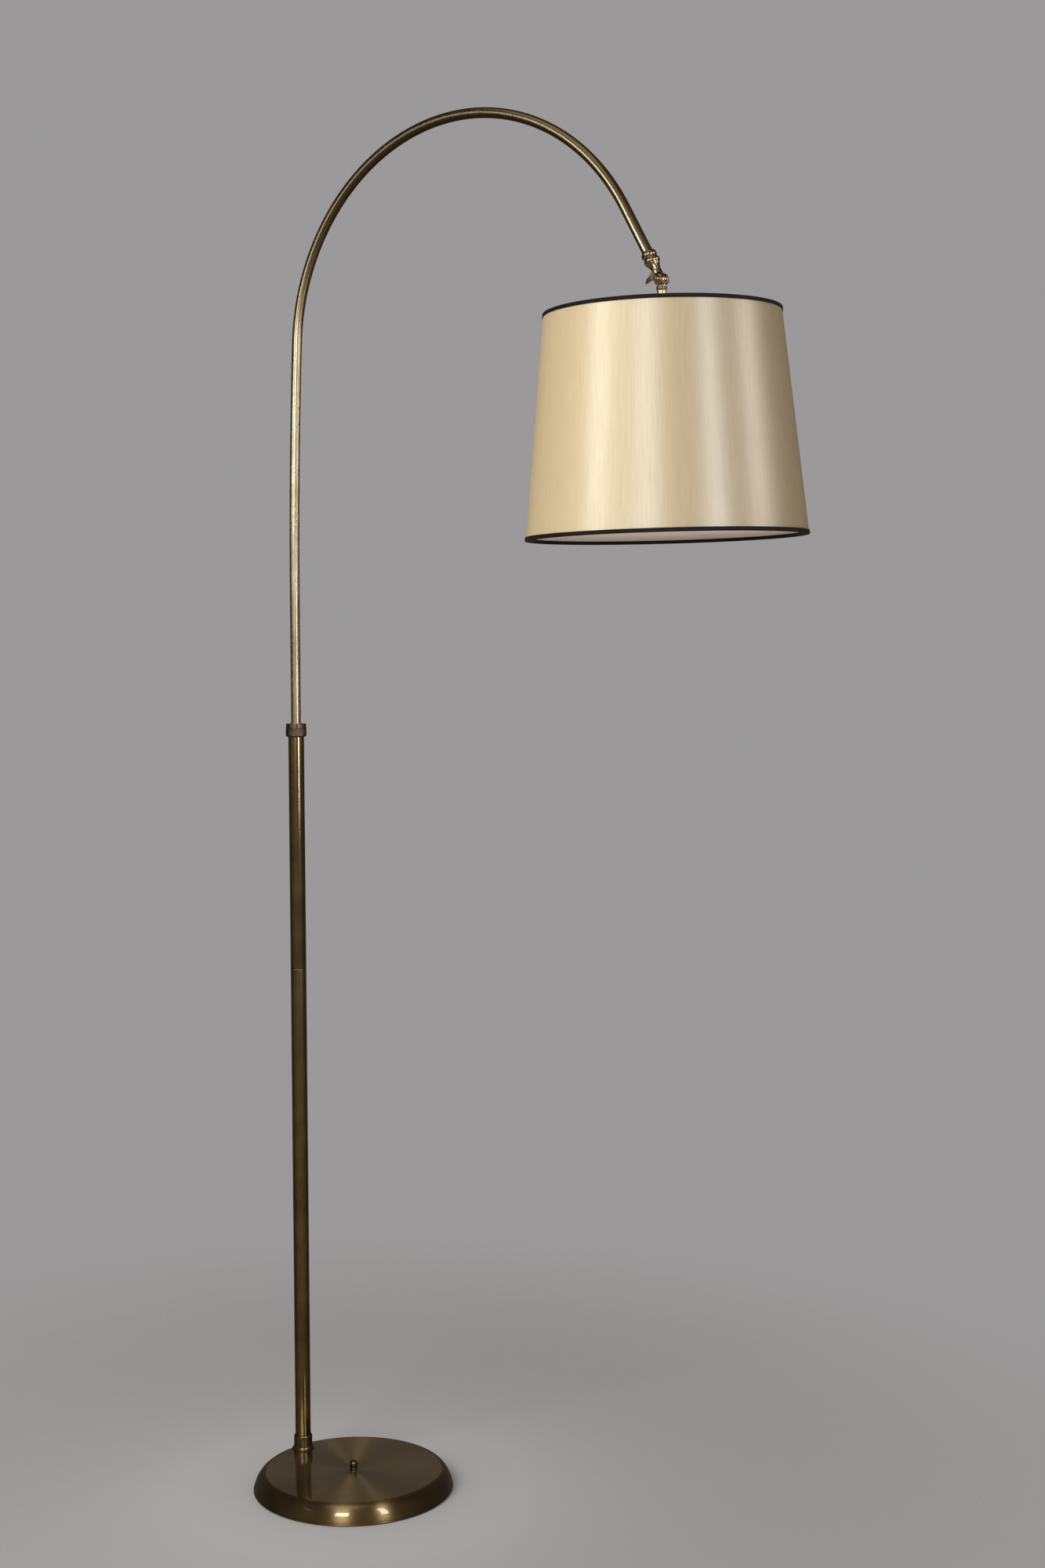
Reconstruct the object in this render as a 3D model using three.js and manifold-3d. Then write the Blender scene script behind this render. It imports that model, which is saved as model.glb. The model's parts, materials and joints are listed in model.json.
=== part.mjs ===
// Arc floor lamp: a weighted round base, a two-length outer pole, a telescoping arm tube
// that arches over, and a tapered cloth shade on a swivel knuckle.
// Millimetres, +Z up. The origin is the centre of the base where it meets the floor.
// The arc lies in the plane through the pole's axis that is parallel to XZ.
import * as THREE from "three";
import { mergeVertices } from "three/addons/utils/BufferGeometryUtils.js";
import Module from "manifold-3d";

const wasm = await Module();
wasm.setup();

// Driving dimensions
const GAP = 0.3; // left between pieces that touch
const POLE_X = -112.4;
const POLE_Y = 21.3;

const BASE_R = 142.5;
const BASE_TOP_R = 123.5; // where the flat top turns into the shoulder
const BASE_H = 26.3;
const SHOULDER_POWER = 1.35; // 1 is an ellipse; larger falls away sooner
const SHELL_T = 1.5;
const SHELL_LIFT = 1; // the shell's rim stays this far off the floor
const FELT_R = 137;
const FELT_T = 2;

const OUTER_R = 11.4; // outer pole tube
const TUBE_WALL = 1.2;
const FOOT_COLLAR_R = 13.3;
const FOOT_COLLAR_H = 21;
const SEAM_Z = 738; // where the two lengths of the outer tube meet
const COLLAR_Z = 1073; // underside of the knurled clamp collar
const COLLAR_H = 18.6;
const COLLAR_R = 14.8;

const ARM_R = 7; // arm tube
const ARM_FOOT_Z = 950;
const BOW_Z = 1261.5; // the arm tube bows slightly above here
const BOW_R = 7715;
const BOW_ANGLE = 0.0479;
const ARC_R = 293.5;
const ARC_END = 2.6193; // the tube's heading at the end of the arc, from straight up
const TIP_RUN = 67.6; // straight run from the arc to the ferrule
const KNUCKLE_RUN = 41.9; // from the ferrule's top to the knuckle's centre

const NECK_R = 5.9;
const DOME_R = 8.8;
const DOME_SHIFT = 1.6; // each dome's centre to its own side of the joint's plane
const DOME_FACE = 0.6; // each dome's flat face from the joint's plane
const HEAD_TILT = -0.028; // the shade head's rest angle about Y

const SHADE_DROP = 39.1; // the shade's top edge below the knuckle's centre
const SHADE_H = 284.6;
const SHADE_TOP_R = 151.1;
const SHADE_BOTTOM_R = 180.4;
const CLOTH_T = 0.8;
const TRIM_T = 0.8;
const TRIM_W = 5.6;

const FLEX_R = 2; // supply lead
const ROUND = 18; // sides of a small turned piece
const WIDE_ROUND = 40; // sides of the base and the shade

// Materials
const metal = (color, roughness) => () =>
  new THREE.MeshStandardMaterial({ color, roughness, metalness: 1 });
const matte = (color, roughness) => () =>
  new THREE.MeshStandardMaterial({ color, roughness, metalness: 0 });
const bronze = metal(0x5a4a2c, 0.3);
const spunBronze = metal(0x5d5034, 0.38);
const iron = metal(0x3a3a3c, 0.7);
const steel = metal(0x9a9a9a, 0.35);
const felt = matte(0x1c1c1c, 1);
const blackPlastic = matte(0x151515, 0.5);
const fibre = matte(0x4a2a1c, 0.8);
const cloth = matte(0xd9c08e, 0.6);
const lining = matte(0xe6d9cf, 0.7);
const tape = matte(0x0e0c0b, 0.7);
const porcelain = matte(0xe8e4da, 0.3);
const flexCover = matte(0x2a1c10, 0.6);
const glass = () =>
  new THREE.MeshStandardMaterial({
    color: 0xf4f1ea,
    roughness: 0.25,
    transparent: true,
    opacity: 0.6,
  });

// Solids: geometry to a manifold for joining and cutting, and back.
function solid(geometry) {
  const bare = geometry.clone();
  bare.deleteAttribute("normal");
  bare.deleteAttribute("uv");
  const merged = mergeVertices(bare, 1e-4);
  const vertProperties = merged.attributes.position.array;
  const triVerts = new Uint32Array(merged.index.array);
  return new wasm.Manifold(new wasm.Mesh({ numProp: 3, vertProperties, triVerts }));
}

function fromSolid(manifold) {
  const mesh = manifold.getMesh();
  const geometry = new THREE.BufferGeometry();
  const places = new Float32Array(mesh.vertProperties);
  geometry.setAttribute("position", new THREE.BufferAttribute(places, 3));
  geometry.setIndex([...mesh.triVerts]);
  return geometry;
}

function cut(geometry, ...tools) {
  return fromSolid(tools.reduce((left, tool) => left.subtract(solid(tool)), solid(geometry)));
}

function join(geometry, ...others) {
  return fromSolid(others.reduce((all, other) => all.add(solid(other)), solid(geometry)));
}

// A turned solid about Z. The profile is [radius, z] points, up the outside and down the inside.
function turned(profile, sides = ROUND) {
  const points = profile.map(([r, z]) => new THREE.Vector2(r, z));
  if (profile[0][0] > 0) points.push(points[0].clone());
  return new THREE.LatheGeometry(points, sides).rotateX(Math.PI / 2);
}

// A plain disc or, with an inner radius, a ring between two heights.
function disc(r, low, high, inner = 0, sides = ROUND) {
  if (inner > 0)
    return turned([[inner, low], [r, low], [r, high], [inner, high]], sides);
  return turned([[0, low], [r, low], [r, high], [0, high]], sides);
}

function hexNut(acrossFlats, low, high, hole) {
  const corner = acrossFlats / Math.sqrt(3);
  return cut(disc(corner, low, high, 0, 6), disc(hole, low - 1, high + 1));
}

function block(width, depth, height, x = 0, y = 0, z = 0) {
  return new THREE.BoxGeometry(width, depth, height).translate(x, y, z);
}

// Points of an arc in a profile, from one angle to another, in radians.
function arcPoints(centreR, centreZ, radius, from, to, steps) {
  return Array.from({ length: steps + 1 }, (unused, i) => {
    const angle = from + ((to - from) * i) / steps;
    return [centreR + radius * Math.cos(angle), centreZ + radius * Math.sin(angle)];
  });
}

// A path in the XZ plane made of straight and round legs. It starts upward, and a heading of
// pi / 2 points along +X. Each leg says how many steps a sweep spends on it.
class LeggedPath extends THREE.Curve {
  constructor(x, z, heading, legs) {
    super();
    this.legs = [];
    for (const { run = 0, radius = 0, turn = 0, steps = 1 } of legs) {
      this.legs.push({ x, z, heading, run, radius, turn, steps });
      const end = this.legPoint(this.legs.at(-1), 1);
      x = end.x;
      z = end.z;
      heading += turn;
    }
    this.steps = this.legs.reduce((sum, leg) => sum + leg.steps, 0);
  }

  legPoint({ x, z, heading, run, radius, turn }, part) {
    if (!turn)
      return new THREE.Vector3(
        x + run * part * Math.sin(heading),
        0,
        z + run * part * Math.cos(heading),
      );
    const side = Math.sign(turn) * radius;
    const now = heading + turn * part;
    return new THREE.Vector3(
      x + side * (Math.cos(heading) - Math.cos(now)),
      0,
      z + side * (Math.sin(now) - Math.sin(heading)),
    );
  }

  legAt(t) {
    let left = t * this.steps;
    for (const leg of this.legs) {
      if (left <= leg.steps || leg === this.legs.at(-1)) return [leg, left / leg.steps];
      left -= leg.steps;
    }
  }

  getPoint(t) {
    return this.legPoint(...this.legAt(t));
  }

  getPointAt(t) {
    return this.getPoint(t);
  }

  getTangent(t) {
    const [leg, part] = this.legAt(t);
    const now = leg.heading + leg.turn * part;
    return new THREE.Vector3(Math.sin(now), 0, Math.cos(now));
  }

  getTangentAt(t) {
    return this.getTangent(t);
  }
}

function circle(radius, sides) {
  return Array.from({ length: sides }, (unused, i) => {
    const angle = (2 * Math.PI * i) / sides;
    return new THREE.Vector2(radius * Math.cos(angle), radius * Math.sin(angle));
  });
}

// A tube, or a rod where it has no bore, swept along a legged path.
function swept(path, radius, sides, bore = 0) {
  const shape = new THREE.Shape(circle(radius, sides));
  if (bore > 0) shape.holes.push(new THREE.Path(circle(bore, sides)));
  return new THREE.ExtrudeGeometry(shape, { steps: path.steps, extrudePath: path });
}

const lamp = new THREE.Group();

function add(name, geometry, material, group) {
  const mesh = new THREE.Mesh(geometry, material());
  mesh.name = name;
  group.add(mesh);
}

// Base: spun shell, iron weight, felt, and the centre knob on its stud.
const base = new THREE.Group();
lamp.add(base);
const poleReach = Math.hypot(POLE_X, POLE_Y);
const poleTurn = Math.atan2(POLE_Y, POLE_X);
const poleBearing = new THREE.Group(); // its +X points from the base's centre to the pole
poleBearing.rotation.z = poleTurn;
base.add(poleBearing);

const NIPPLE_R = 5;
const NIPPLE_LOW = 12.5;
const NUT_HIGH = 17.2;
const WASHER_HIGH = 18.6;
const INLET_Z = 6.5;
const INLET_BODY_R = 3.8;
const STUD_R = 2.5;

// The shoulder's points from the rim up to the flat top.
function shoulder(inset, crown) {
  const steps = 7;
  const points = [[BASE_R - inset, SHELL_LIFT]];
  for (let i = 1; i <= steps; i += 1) {
    const u = (Math.PI / 2) * (1 - i / steps);
    const r = BASE_TOP_R + (BASE_R - BASE_TOP_R) * Math.sin(u) - inset;
    points.push([r, crown * Math.cos(u) ** SHOULDER_POWER]);
  }
  return points;
}

function baseShell() {
  const crown = BASE_H - SHELL_T;
  const shell = turned(
    [[0, crown], ...shoulder(SHELL_T, crown).reverse(), ...shoulder(0, BASE_H), [0, BASE_H]],
    WIDE_ROUND,
  );
  const poleHole = disc(NIPPLE_R + 0.5, 15, 40).translate(POLE_X, POLE_Y, 0);
  const knobHole = disc(STUD_R + 0.5, 15, 40);
  const inletHole = disc(INLET_BODY_R + GAP, BASE_R - 14, BASE_R + 4)
    .rotateY(Math.PI / 2)
    .translate(0, 0, INLET_Z)
    .rotateZ(poleTurn);
  return cut(shell, poleHole, knobHole, inletHole);
}

function baseWeight() {
  const low = FELT_T + GAP;
  const high = BASE_H - SHELL_T - GAP;
  const body = turned(
    [[0, low], [136, low], [136, 8], [130.5, 16.5], [120.5, high], [0, high]],
    WIDE_ROUND,
  );
  const nutWell = disc(12.5, 0, WASHER_HIGH + GAP).translate(POLE_X, POLE_Y, 0);
  const nippleHole = disc(NIPPLE_R + GAP, 0, 40).translate(POLE_X, POLE_Y, 0);
  const studHole = disc(STUD_R + GAP, 10, 40);
  const leadSlot = block(30, 10, 12, poleReach + 15, 0, 6).rotateZ(poleTurn);
  return cut(body, nutWell, nippleHole, studHole, leadSlot);
}

function baseKnob() {
  const neckR = 4.8;
  const ballR = 5.7;
  const ballZ = BASE_H + 7.3;
  const low = BASE_H + GAP;
  const bore = STUD_R + GAP;
  return turned([
    [0, ballZ + 1],
    [bore, ballZ + 1],
    [bore, low],
    [neckR + 0.5, low],
    [neckR, low + 0.8],
    [neckR, ballZ - 3.2],
    ...arcPoints(0, ballZ, ballR, -0.5, Math.PI / 2, 5),
  ]);
}

function inletBush() {
  const bore = FLEX_R + GAP;
  return turned([
    [bore, 0],
    [INLET_BODY_R, 0],
    [INLET_BODY_R, 9.6],
    [INLET_BODY_R + 1.4, 9.6],
    [INLET_BODY_R + 1.4, 10.8],
    [INLET_BODY_R + 0.9, 11.3],
    [bore, 11.3],
  ]);
}

add("base_shell", baseShell(), spunBronze, base);
add("base_weight", baseWeight(), iron, base);
add("base_felt", disc(FELT_R, 0, FELT_T, 0, WIDE_ROUND), felt, base);
add("base_stud", disc(STUD_R, 10.5, BASE_H + 7.8), steel, base);
add("base_knob", baseKnob(), bronze, base);
const inletPlace = new THREE.Group();
inletPlace.position.set(133.6, 0, INLET_Z);
inletPlace.rotation.y = Math.PI / 2;
poleBearing.add(inletPlace);
add("inlet_bush", inletBush(), blackPlastic, inletPlace);

// Pole: nipple, foot collar, two tube lengths, coupler, and the clamp at the top.
const pole = new THREE.Group();
pole.position.set(POLE_X, POLE_Y, 0);
lamp.add(pole);

const TUBE_BORE = OUTER_R - TUBE_WALL;
const PLUG_R = TUBE_BORE - GAP;
const tubeFoot = BASE_H + GAP;
const tubeTop = COLLAR_Z + 3;
const bushTop = COLLAR_Z + 9;
const CLAMP_BORE = ARM_R + 0.5; // loose enough for the bowed stretch to pass

// A collar that flares out in a cove where it meets the base.
function footCollar() {
  const bore = OUTER_R + GAP;
  const low = BASE_H + GAP;
  const high = low + FOOT_COLLAR_H;
  const flareR = FOOT_COLLAR_R + 2.8;
  return turned([
    [bore, low],
    [flareR, low],
    [flareR, low + 0.9],
    ...arcPoints(FOOT_COLLAR_R + 4.1, low + 4.9, 3.9, 1.28 * Math.PI, Math.PI, 4),
    [FOOT_COLLAR_R, high - 3],
    [FOOT_COLLAR_R - 0.1, high - 1.6],
    [FOOT_COLLAR_R - 1, high - 0.2],
    [bore, high],
  ]);
}

function footPlug() {
  return disc(PLUG_R, tubeFoot + 0.5, tubeFoot + 20, NIPPLE_R + GAP);
}

function tubeLength(low, high) {
  return disc(OUTER_R, low, high, TUBE_BORE, ROUND);
}

// The guide bush: a sleeve in the tube, and a boss on the tube's end that the collar screws on.
function topBush() {
  return turned([
    [CLAMP_BORE + 0.6, COLLAR_Z - 15],
    [PLUG_R, COLLAR_Z - 15],
    [PLUG_R, tubeTop + GAP],
    [OUTER_R, tubeTop + GAP],
    [OUTER_R, bushTop],
    [CLAMP_BORE + 0.6, bushTop],
  ]);
}

// A tapered ring, split on one side, that the collar squeezes onto the arm tube.
function clampCollet() {
  const ring = turned([
    [CLAMP_BORE, bushTop + GAP],
    [10.7, bushTop + GAP],
    [10.7, COLLAR_Z + 12.2],
    [8.7, COLLAR_Z + 16.2],
    [8.5, COLLAR_Z + COLLAR_H + 0.9],
    [CLAMP_BORE, COLLAR_Z + COLLAR_H + 0.9],
  ]);
  return cut(ring, block(8, 1.2, 14, 9, 0, COLLAR_Z + 14));
}

function clampCollar() {
  const knurlTop = COLLAR_Z + 12;
  const top = COLLAR_Z + COLLAR_H;
  return turned([
    [OUTER_R + GAP, COLLAR_Z],
    [COLLAR_R - 1.6, COLLAR_Z],
    [COLLAR_R - 0.3, COLLAR_Z + 1.3],
    [COLLAR_R, COLLAR_Z + 2.5],
    [COLLAR_R, knurlTop],
    [COLLAR_R - 0.4, knurlTop + 0.3],
    [COLLAR_R - 0.4, top - 0.6],
    [COLLAR_R - 1, top],
    [9.1, top],
    [9.1, COLLAR_Z + 16.2],
    [OUTER_R + GAP, COLLAR_Z + 12.2],
  ], 24);
}

// The lead comes in along the base, from the inlet, and turns up through the nipple.
const leadBend = 6;
const leadPath = new LeggedPath(133 - poleReach, INLET_Z, -Math.PI / 2, [
  { run: 133 - poleReach - leadBend },
  { radius: leadBend, turn: Math.PI / 2, steps: 5 },
  { run: 110 },
]);
const leadPlace = new THREE.Group();
leadPlace.rotation.z = poleTurn;
pole.add(leadPlace);

add("pole_nipple", disc(NIPPLE_R, NIPPLE_LOW, tubeFoot + 19, FLEX_R + 0.6), steel, pole);
add("nipple_nut", hexNut(17, NIPPLE_LOW + 0.4, NUT_HIGH, NIPPLE_R + GAP), steel, pole);
add("nipple_washer", disc(11, NUT_HIGH + GAP, WASHER_HIGH, NIPPLE_R + GAP), steel, pole);
add("foot_plug", footPlug(), bronze, pole);
add("foot_collar", footCollar(), bronze, pole);
add("lower_tube_foot", tubeLength(tubeFoot, SEAM_Z - GAP / 2), bronze, pole);
add("lower_tube_top", tubeLength(SEAM_Z + GAP / 2, tubeTop), bronze, pole);
add("tube_coupler", disc(PLUG_R, SEAM_Z - 20, SEAM_Z + 20, PLUG_R - 1.6), steel, pole);
add("top_bush", topBush(), bronze, pole);
add("clamp_collar", clampCollar(), bronze, pole);
add("clamp_collet", clampCollet(), bronze, pole);
add("pole_lead", swept(leadPath, FLEX_R, 8), flexCover, leadPlace);

// Arm: the bent tube, its guide sleeve, the ferrule and the arm's half of the knuckle.
const arm = new THREE.Group();
arm.position.copy(pole.position);
lamp.add(arm);

function armPath(start, extra) {
  return new LeggedPath(0, start, 0, [
    { run: BOW_Z - start },
    { radius: BOW_R, turn: BOW_ANGLE, steps: 3 },
    { radius: ARC_R, turn: ARC_END - BOW_ANGLE, steps: 26 },
    { run: TIP_RUN + extra },
  ]);
}
const armEnd = armPath(ARM_FOOT_Z, 0).getPoint(1);

// The guide sleeve rides in the outer tube and stops the arm tube from pulling out.
function armGuide() {
  return disc(9.8, ARM_FOOT_Z + 2, ARM_FOOT_Z + 24, ARM_R + GAP);
}

// At the tip, +Z of this group runs back up the tube and its origin is the knuckle's centre.
const tip = new THREE.Group();
tip.position.set(
  armEnd.x + KNUCKLE_RUN * Math.sin(ARC_END),
  0,
  armEnd.z + KNUCKLE_RUN * Math.cos(ARC_END),
);
tip.rotation.y = ARC_END - Math.PI;
arm.add(tip);
const tubeSocket = KNUCKLE_RUN - 10; // the arm tube stops here inside the ferrule
const ferruleFoot = KNUCKLE_RUN - 27.6;

function armFerrule() {
  const top = KNUCKLE_RUN;
  return turned([
    [NECK_R - 1.1, ferruleFoot],
    [NECK_R, ferruleFoot],
    [NECK_R + 0.2, ferruleFoot + 1.5],
    [NECK_R + 1.3, ferruleFoot + 6.6],
    [NECK_R + 2, ferruleFoot + 7],
    [NECK_R + 2.3, ferruleFoot + 9],
    [NECK_R + 2.9, ferruleFoot + 10],
    ...arcPoints(7.9, top - 14.4, 2.4, -1, 1.1, 4),
    [8.7, top - 10],
    ...arcPoints(7.3, top - 5.4, 2.7, -1, 1.2, 4),
    [ARM_R + 0.9, top],
    [ARM_R + GAP, top],
    [ARM_R + GAP, tubeSocket - GAP],
    [NECK_R - 1.1, tubeSocket - GAP],
  ]);
}

// Half of the knuckle: a dome on one side of the joint's plane with a neck, seen with the neck
// along +Z. The other half's dome sweeps past the neck, so the neck is cut clear of it.
function knuckleHalf(side, neck) {
  const face = DOME_FACE;
  const ball = new THREE.SphereGeometry(DOME_R, ROUND, 12).translate(0, side * DOME_SHIFT, 0);
  const sweep = disc(DOME_R + 0.7, -20, 20, 0, 24)
    .rotateX(Math.PI / 2)
    .translate(0, side * (face - 20), 0);
  const otherSide = block(60, 40, 200, 0, side * (face - 20), 0);
  const dome = cut(ball, otherSide);
  const ownNeck = cut(neck, sweep);
  const screwHole = disc(3.2, -30, 30).rotateX(Math.PI / 2);
  return cut(join(dome, ownNeck), screwHole);
}

function armHalf() {
  const stubR = NECK_R - 1.4;
  const stubTop = tubeSocket - 3;
  const neck = turned([
    [0, 4],
    [NECK_R, 4],
    [NECK_R, ferruleFoot - GAP],
    [stubR, ferruleFoot - GAP],
    [stubR, stubTop],
    [0, stubTop],
  ]);
  const leadBore = disc(FLEX_R + 0.6, DOME_R + 1, 60);
  return cut(knuckleHalf(1, neck), leadBore);
}

// A wing screw along -Y: a shank through both halves, a domed hub, and one leaf-shaped wing.
function wingScrew() {
  const hubY = 10.9;
  const hubR = 4.5;
  const screw = turned([
    [0, -8.5],
    [2.8, -8.5],
    [2.8, hubY],
    [hubR, hubY],
    [hubR, hubY + 1.5],
    [hubR - 0.5, hubY + 4],
    [2.6, hubY + 6],
    [0, hubY + 6.6],
  ]);
  const leaf = new THREE.Shape();
  leaf.moveTo(-3, hubY + 2);
  leaf.quadraticCurveTo(-5, hubY + 6, -8.6, hubY + 11);
  leaf.quadraticCurveTo(-11.4, hubY + 16, -8, hubY + 17.5);
  leaf.quadraticCurveTo(0, hubY + 23, 8, hubY + 17.5);
  leaf.quadraticCurveTo(11.4, hubY + 16, 8.6, hubY + 11);
  leaf.quadraticCurveTo(5, hubY + 6, 3, hubY + 2);
  const wing = new THREE.ExtrudeGeometry(leaf, {
    depth: 2,
    bevelEnabled: false,
    curveSegments: 6,
  })
    .translate(0, 0, -1)
    .rotateX(Math.PI / 2);
  return join(screw, wing).rotateX(Math.PI / 2);
}

const WING_LEAN = 0.66; // the wing's top leans this far towards the shade, from upright
const knuckle = new THREE.Group(); // the knuckle's centre, with the arm's own axes
knuckle.position.copy(tip.position);
arm.add(knuckle);
const wingPlace = new THREE.Group();
wingPlace.rotation.y = WING_LEAN - Math.PI / 2;
knuckle.add(wingPlace);

add("arm_tube", swept(armPath(ARM_FOOT_Z, 10 - GAP), ARM_R, 12, ARM_R - TUBE_WALL), bronze, arm);
add("arm_guide", armGuide(), bronze, arm);
add("arm_lead", swept(armPath(ARM_FOOT_Z + 3, KNUCKLE_RUN - 11), FLEX_R, 6), flexCover, arm);
add("arm_ferrule", armFerrule(), bronze, tip);
add("knuckle_arm_half", armHalf(), bronze, tip);
add("knuckle_washer", disc(6.5, -0.3, 0.3, 3.3).rotateX(Math.PI / 2), fibre, knuckle);
add("wing_screw", wingScrew(), bronze, wingPlace);

// Shade head: all of it turns with the shade's half of the knuckle.
const head = new THREE.Group();
head.rotation.y = HEAD_TILT;
knuckle.add(head);

const CAP_TOP = -30;
const CAP_LOW = -56;
const SHELL_R = 19.2; // lampholder shell
const SHELL_LOW = -98;
const hubLow = CAP_LOW - GAP - 2.5;

function shadeHalf() {
  const neck = turned([
    [0, CAP_TOP - 16],
    [4.7, CAP_TOP - 16],
    [4.7, CAP_TOP + GAP],
    [NECK_R + 1.4, CAP_TOP + GAP],
    [NECK_R + 1.4, CAP_TOP + 3],
    [NECK_R, CAP_TOP + 4],
    [NECK_R, -13],
    [NECK_R + 1.3, -10],
    [NECK_R, -8],
    [NECK_R, -4],
    [0, -4],
  ]);
  const leadBore = disc(FLEX_R + 0.6, -60, -DOME_R - 3);
  return cut(knuckleHalf(-1, neck), leadBore);
}

function holderCap() {
  return turned([
    [20.2, CAP_LOW],
    [21.2, CAP_LOW],
    [21.2, CAP_LOW + 8],
    ...arcPoints(7.5, CAP_LOW + 9, 13.7, 0.1, 1.35, 4),
    [9.4, CAP_TOP],
    [5, CAP_TOP],
    [5, CAP_TOP - 9],
    ...arcPoints(7.5, CAP_LOW + 9, 12.5, 1.3, 0.1, 4),
    [20.2, CAP_LOW + 8],
  ], 24);
}

function holderShell() {
  const top = CAP_LOW - 0.5;
  return turned([
    [SHELL_R - 1.6, SHELL_LOW],
    [SHELL_R, SHELL_LOW],
    [SHELL_R, top],
    [5.3, top],
    [5.3, top - 1.4],
    [SHELL_R - 1.6, top - 1.4],
  ], 24);
}

function shadeRing() {
  const high = hubLow - GAP;
  const low = high - 7;
  return turned([
    [SHELL_R + GAP, low],
    [25, low],
    [26, low + 1],
    [26, high - 2.5],
    [28.5, high - 2],
    [28.5, high],
    [SHELL_R + GAP, high],
  ], 24);
}

function coneR(z) {
  const part = (-SHADE_DROP - z) / SHADE_H;
  return SHADE_TOP_R + (SHADE_BOTTOM_R - SHADE_TOP_R) * part - TRIM_T - GAP;
}

const edgeTop = -SHADE_DROP - TRIM_T - GAP; // top edge of the cloth, under its tape
const edgeLow = -SHADE_DROP - SHADE_H + TRIM_T + GAP;

function coneSheet(inset, thickness) {
  return turned([
    [coneR(edgeLow) - inset - thickness, edgeLow],
    [coneR(edgeLow) - inset, edgeLow],
    [coneR(edgeTop) - inset, edgeTop],
    [coneR(edgeTop) - inset - thickness, edgeTop],
  ], WIDE_ROUND);
}

// A tape over an edge: a leg down the outside and a lip across the edges of cloth and lining.
function edgeTape(edge, outward) {
  const lipInner = coneR(edge) - 2 * CLOTH_T - GAP;
  const rim = edge + outward * GAP;
  const crown = rim + outward * TRIM_T;
  const legEnd = crown - outward * TRIM_W;
  const profile = [
    [lipInner, rim],
    [coneR(rim) + GAP, rim],
    [coneR(legEnd) + GAP, legEnd],
    [coneR(legEnd) + GAP + TRIM_T, legEnd],
    [coneR(crown) + GAP + TRIM_T, crown],
    [lipInner, crown],
  ];
  return turned(outward > 0 ? profile : profile.reverse(), WIDE_ROUND);
}

// The fitter: a hub ring on the lampholder, three arms, and the shade's top wire, welded.
const WIRE_R = 1.4;
const wireInset = 2 * CLOTH_T + 2 * GAP + WIRE_R;
const wireTopZ = edgeTop - WIRE_R - 0.4;
const wireLowZ = edgeLow + WIRE_R + 0.4;

function wireRing(z) {
  const r = coneR(z) - wireInset;
  return turned(arcPoints(r, z, WIRE_R, 0, 2 * Math.PI, 6).slice(0, -1), WIDE_ROUND);
}

function shadeSpider() {
  const hubR = 24;
  const reach = coneR(wireTopZ) - wireInset;
  const hub = disc(hubR, hubLow, CAP_LOW - GAP, SHELL_R + 0.4, 24);
  const drop = wireTopZ - (hubLow + 1.25);
  const run = reach - (hubR - 1.5);
  const slope = Math.atan2(drop, run);
  const arms = [0, 1, 2].map((i) =>
    disc(WIRE_R, 0, Math.hypot(drop, run), 0, 6)
      .rotateY(Math.PI / 2 - slope)
      .translate(hubR - 1.5, 0, hubLow + 1.25)
      .rotateZ(Math.PI / 2 + (i * 2 * Math.PI) / 3),
  );
  return join(hub, wireRing(wireTopZ), ...arms);
}

function holderInsert() {
  return disc(SHELL_R - 2, -72, -60, 0, 24);
}

function bulbCap() {
  return turned([
    [0, -78],
    [9, -79],
    [11.6, -80.5],
    [11.6, -101],
    [13.2, -100.5],
    [13.2, -79.5],
    [10, -77.5],
    [4.4, -77],
    [4.4, -75.8],
    [0, -75.8],
  ]);
}

// An open-necked glass envelope.
function bulbGlass() {
  const centre = -152;
  const outline = (r, inset) => [
    ...arcPoints(0, centre, r, -Math.PI / 2, 0.42, 6),
    [20.5 - inset, -124],
    [15.8 - inset, -112],
    [15.4 - inset, -101.6],
  ];
  return turned([...outline(30, 0), ...outline(29, 1).reverse()], 24);
}

add("knuckle_shade_half", shadeHalf(), bronze, head);
add("holder_cap", holderCap(), bronze, head);
add("holder_shell", holderShell(), blackPlastic, head);
add("holder_insert", holderInsert(), porcelain, head);
add("holder_thread", disc(15.4, -97, -72.3, 14.3, 24), bronze, head);
add("holder_contact", disc(3, -75.4, -72.3, 0, 12), steel, head);
add("shade_ring", shadeRing(), blackPlastic, head);
add("shade_spider", shadeSpider(), steel, head);
add("shade_wire_bottom", wireRing(wireLowZ), steel, head);
add("shade_fabric", coneSheet(0, CLOTH_T), cloth, head);
add("shade_liner", coneSheet(CLOTH_T + GAP, CLOTH_T), lining, head);
add("trim_top", edgeTape(edgeTop, 1), tape, head);
add("trim_bottom", edgeTape(edgeLow, -1), tape, head);
add("bulb_cap", bulbCap(), steel, head);
add("bulb_glass", bulbGlass(), glass, head);
add("stem_lead", disc(FLEX_R, -59.7, -13, 0, 8), flexCover, head);

export default lamp;
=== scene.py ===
"""Arc floor lamp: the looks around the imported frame. Metres, +Z up, in the frame's own axes."""
import json
import math

import bmesh
import bpy
from mathutils import Matrix, Vector


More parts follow.
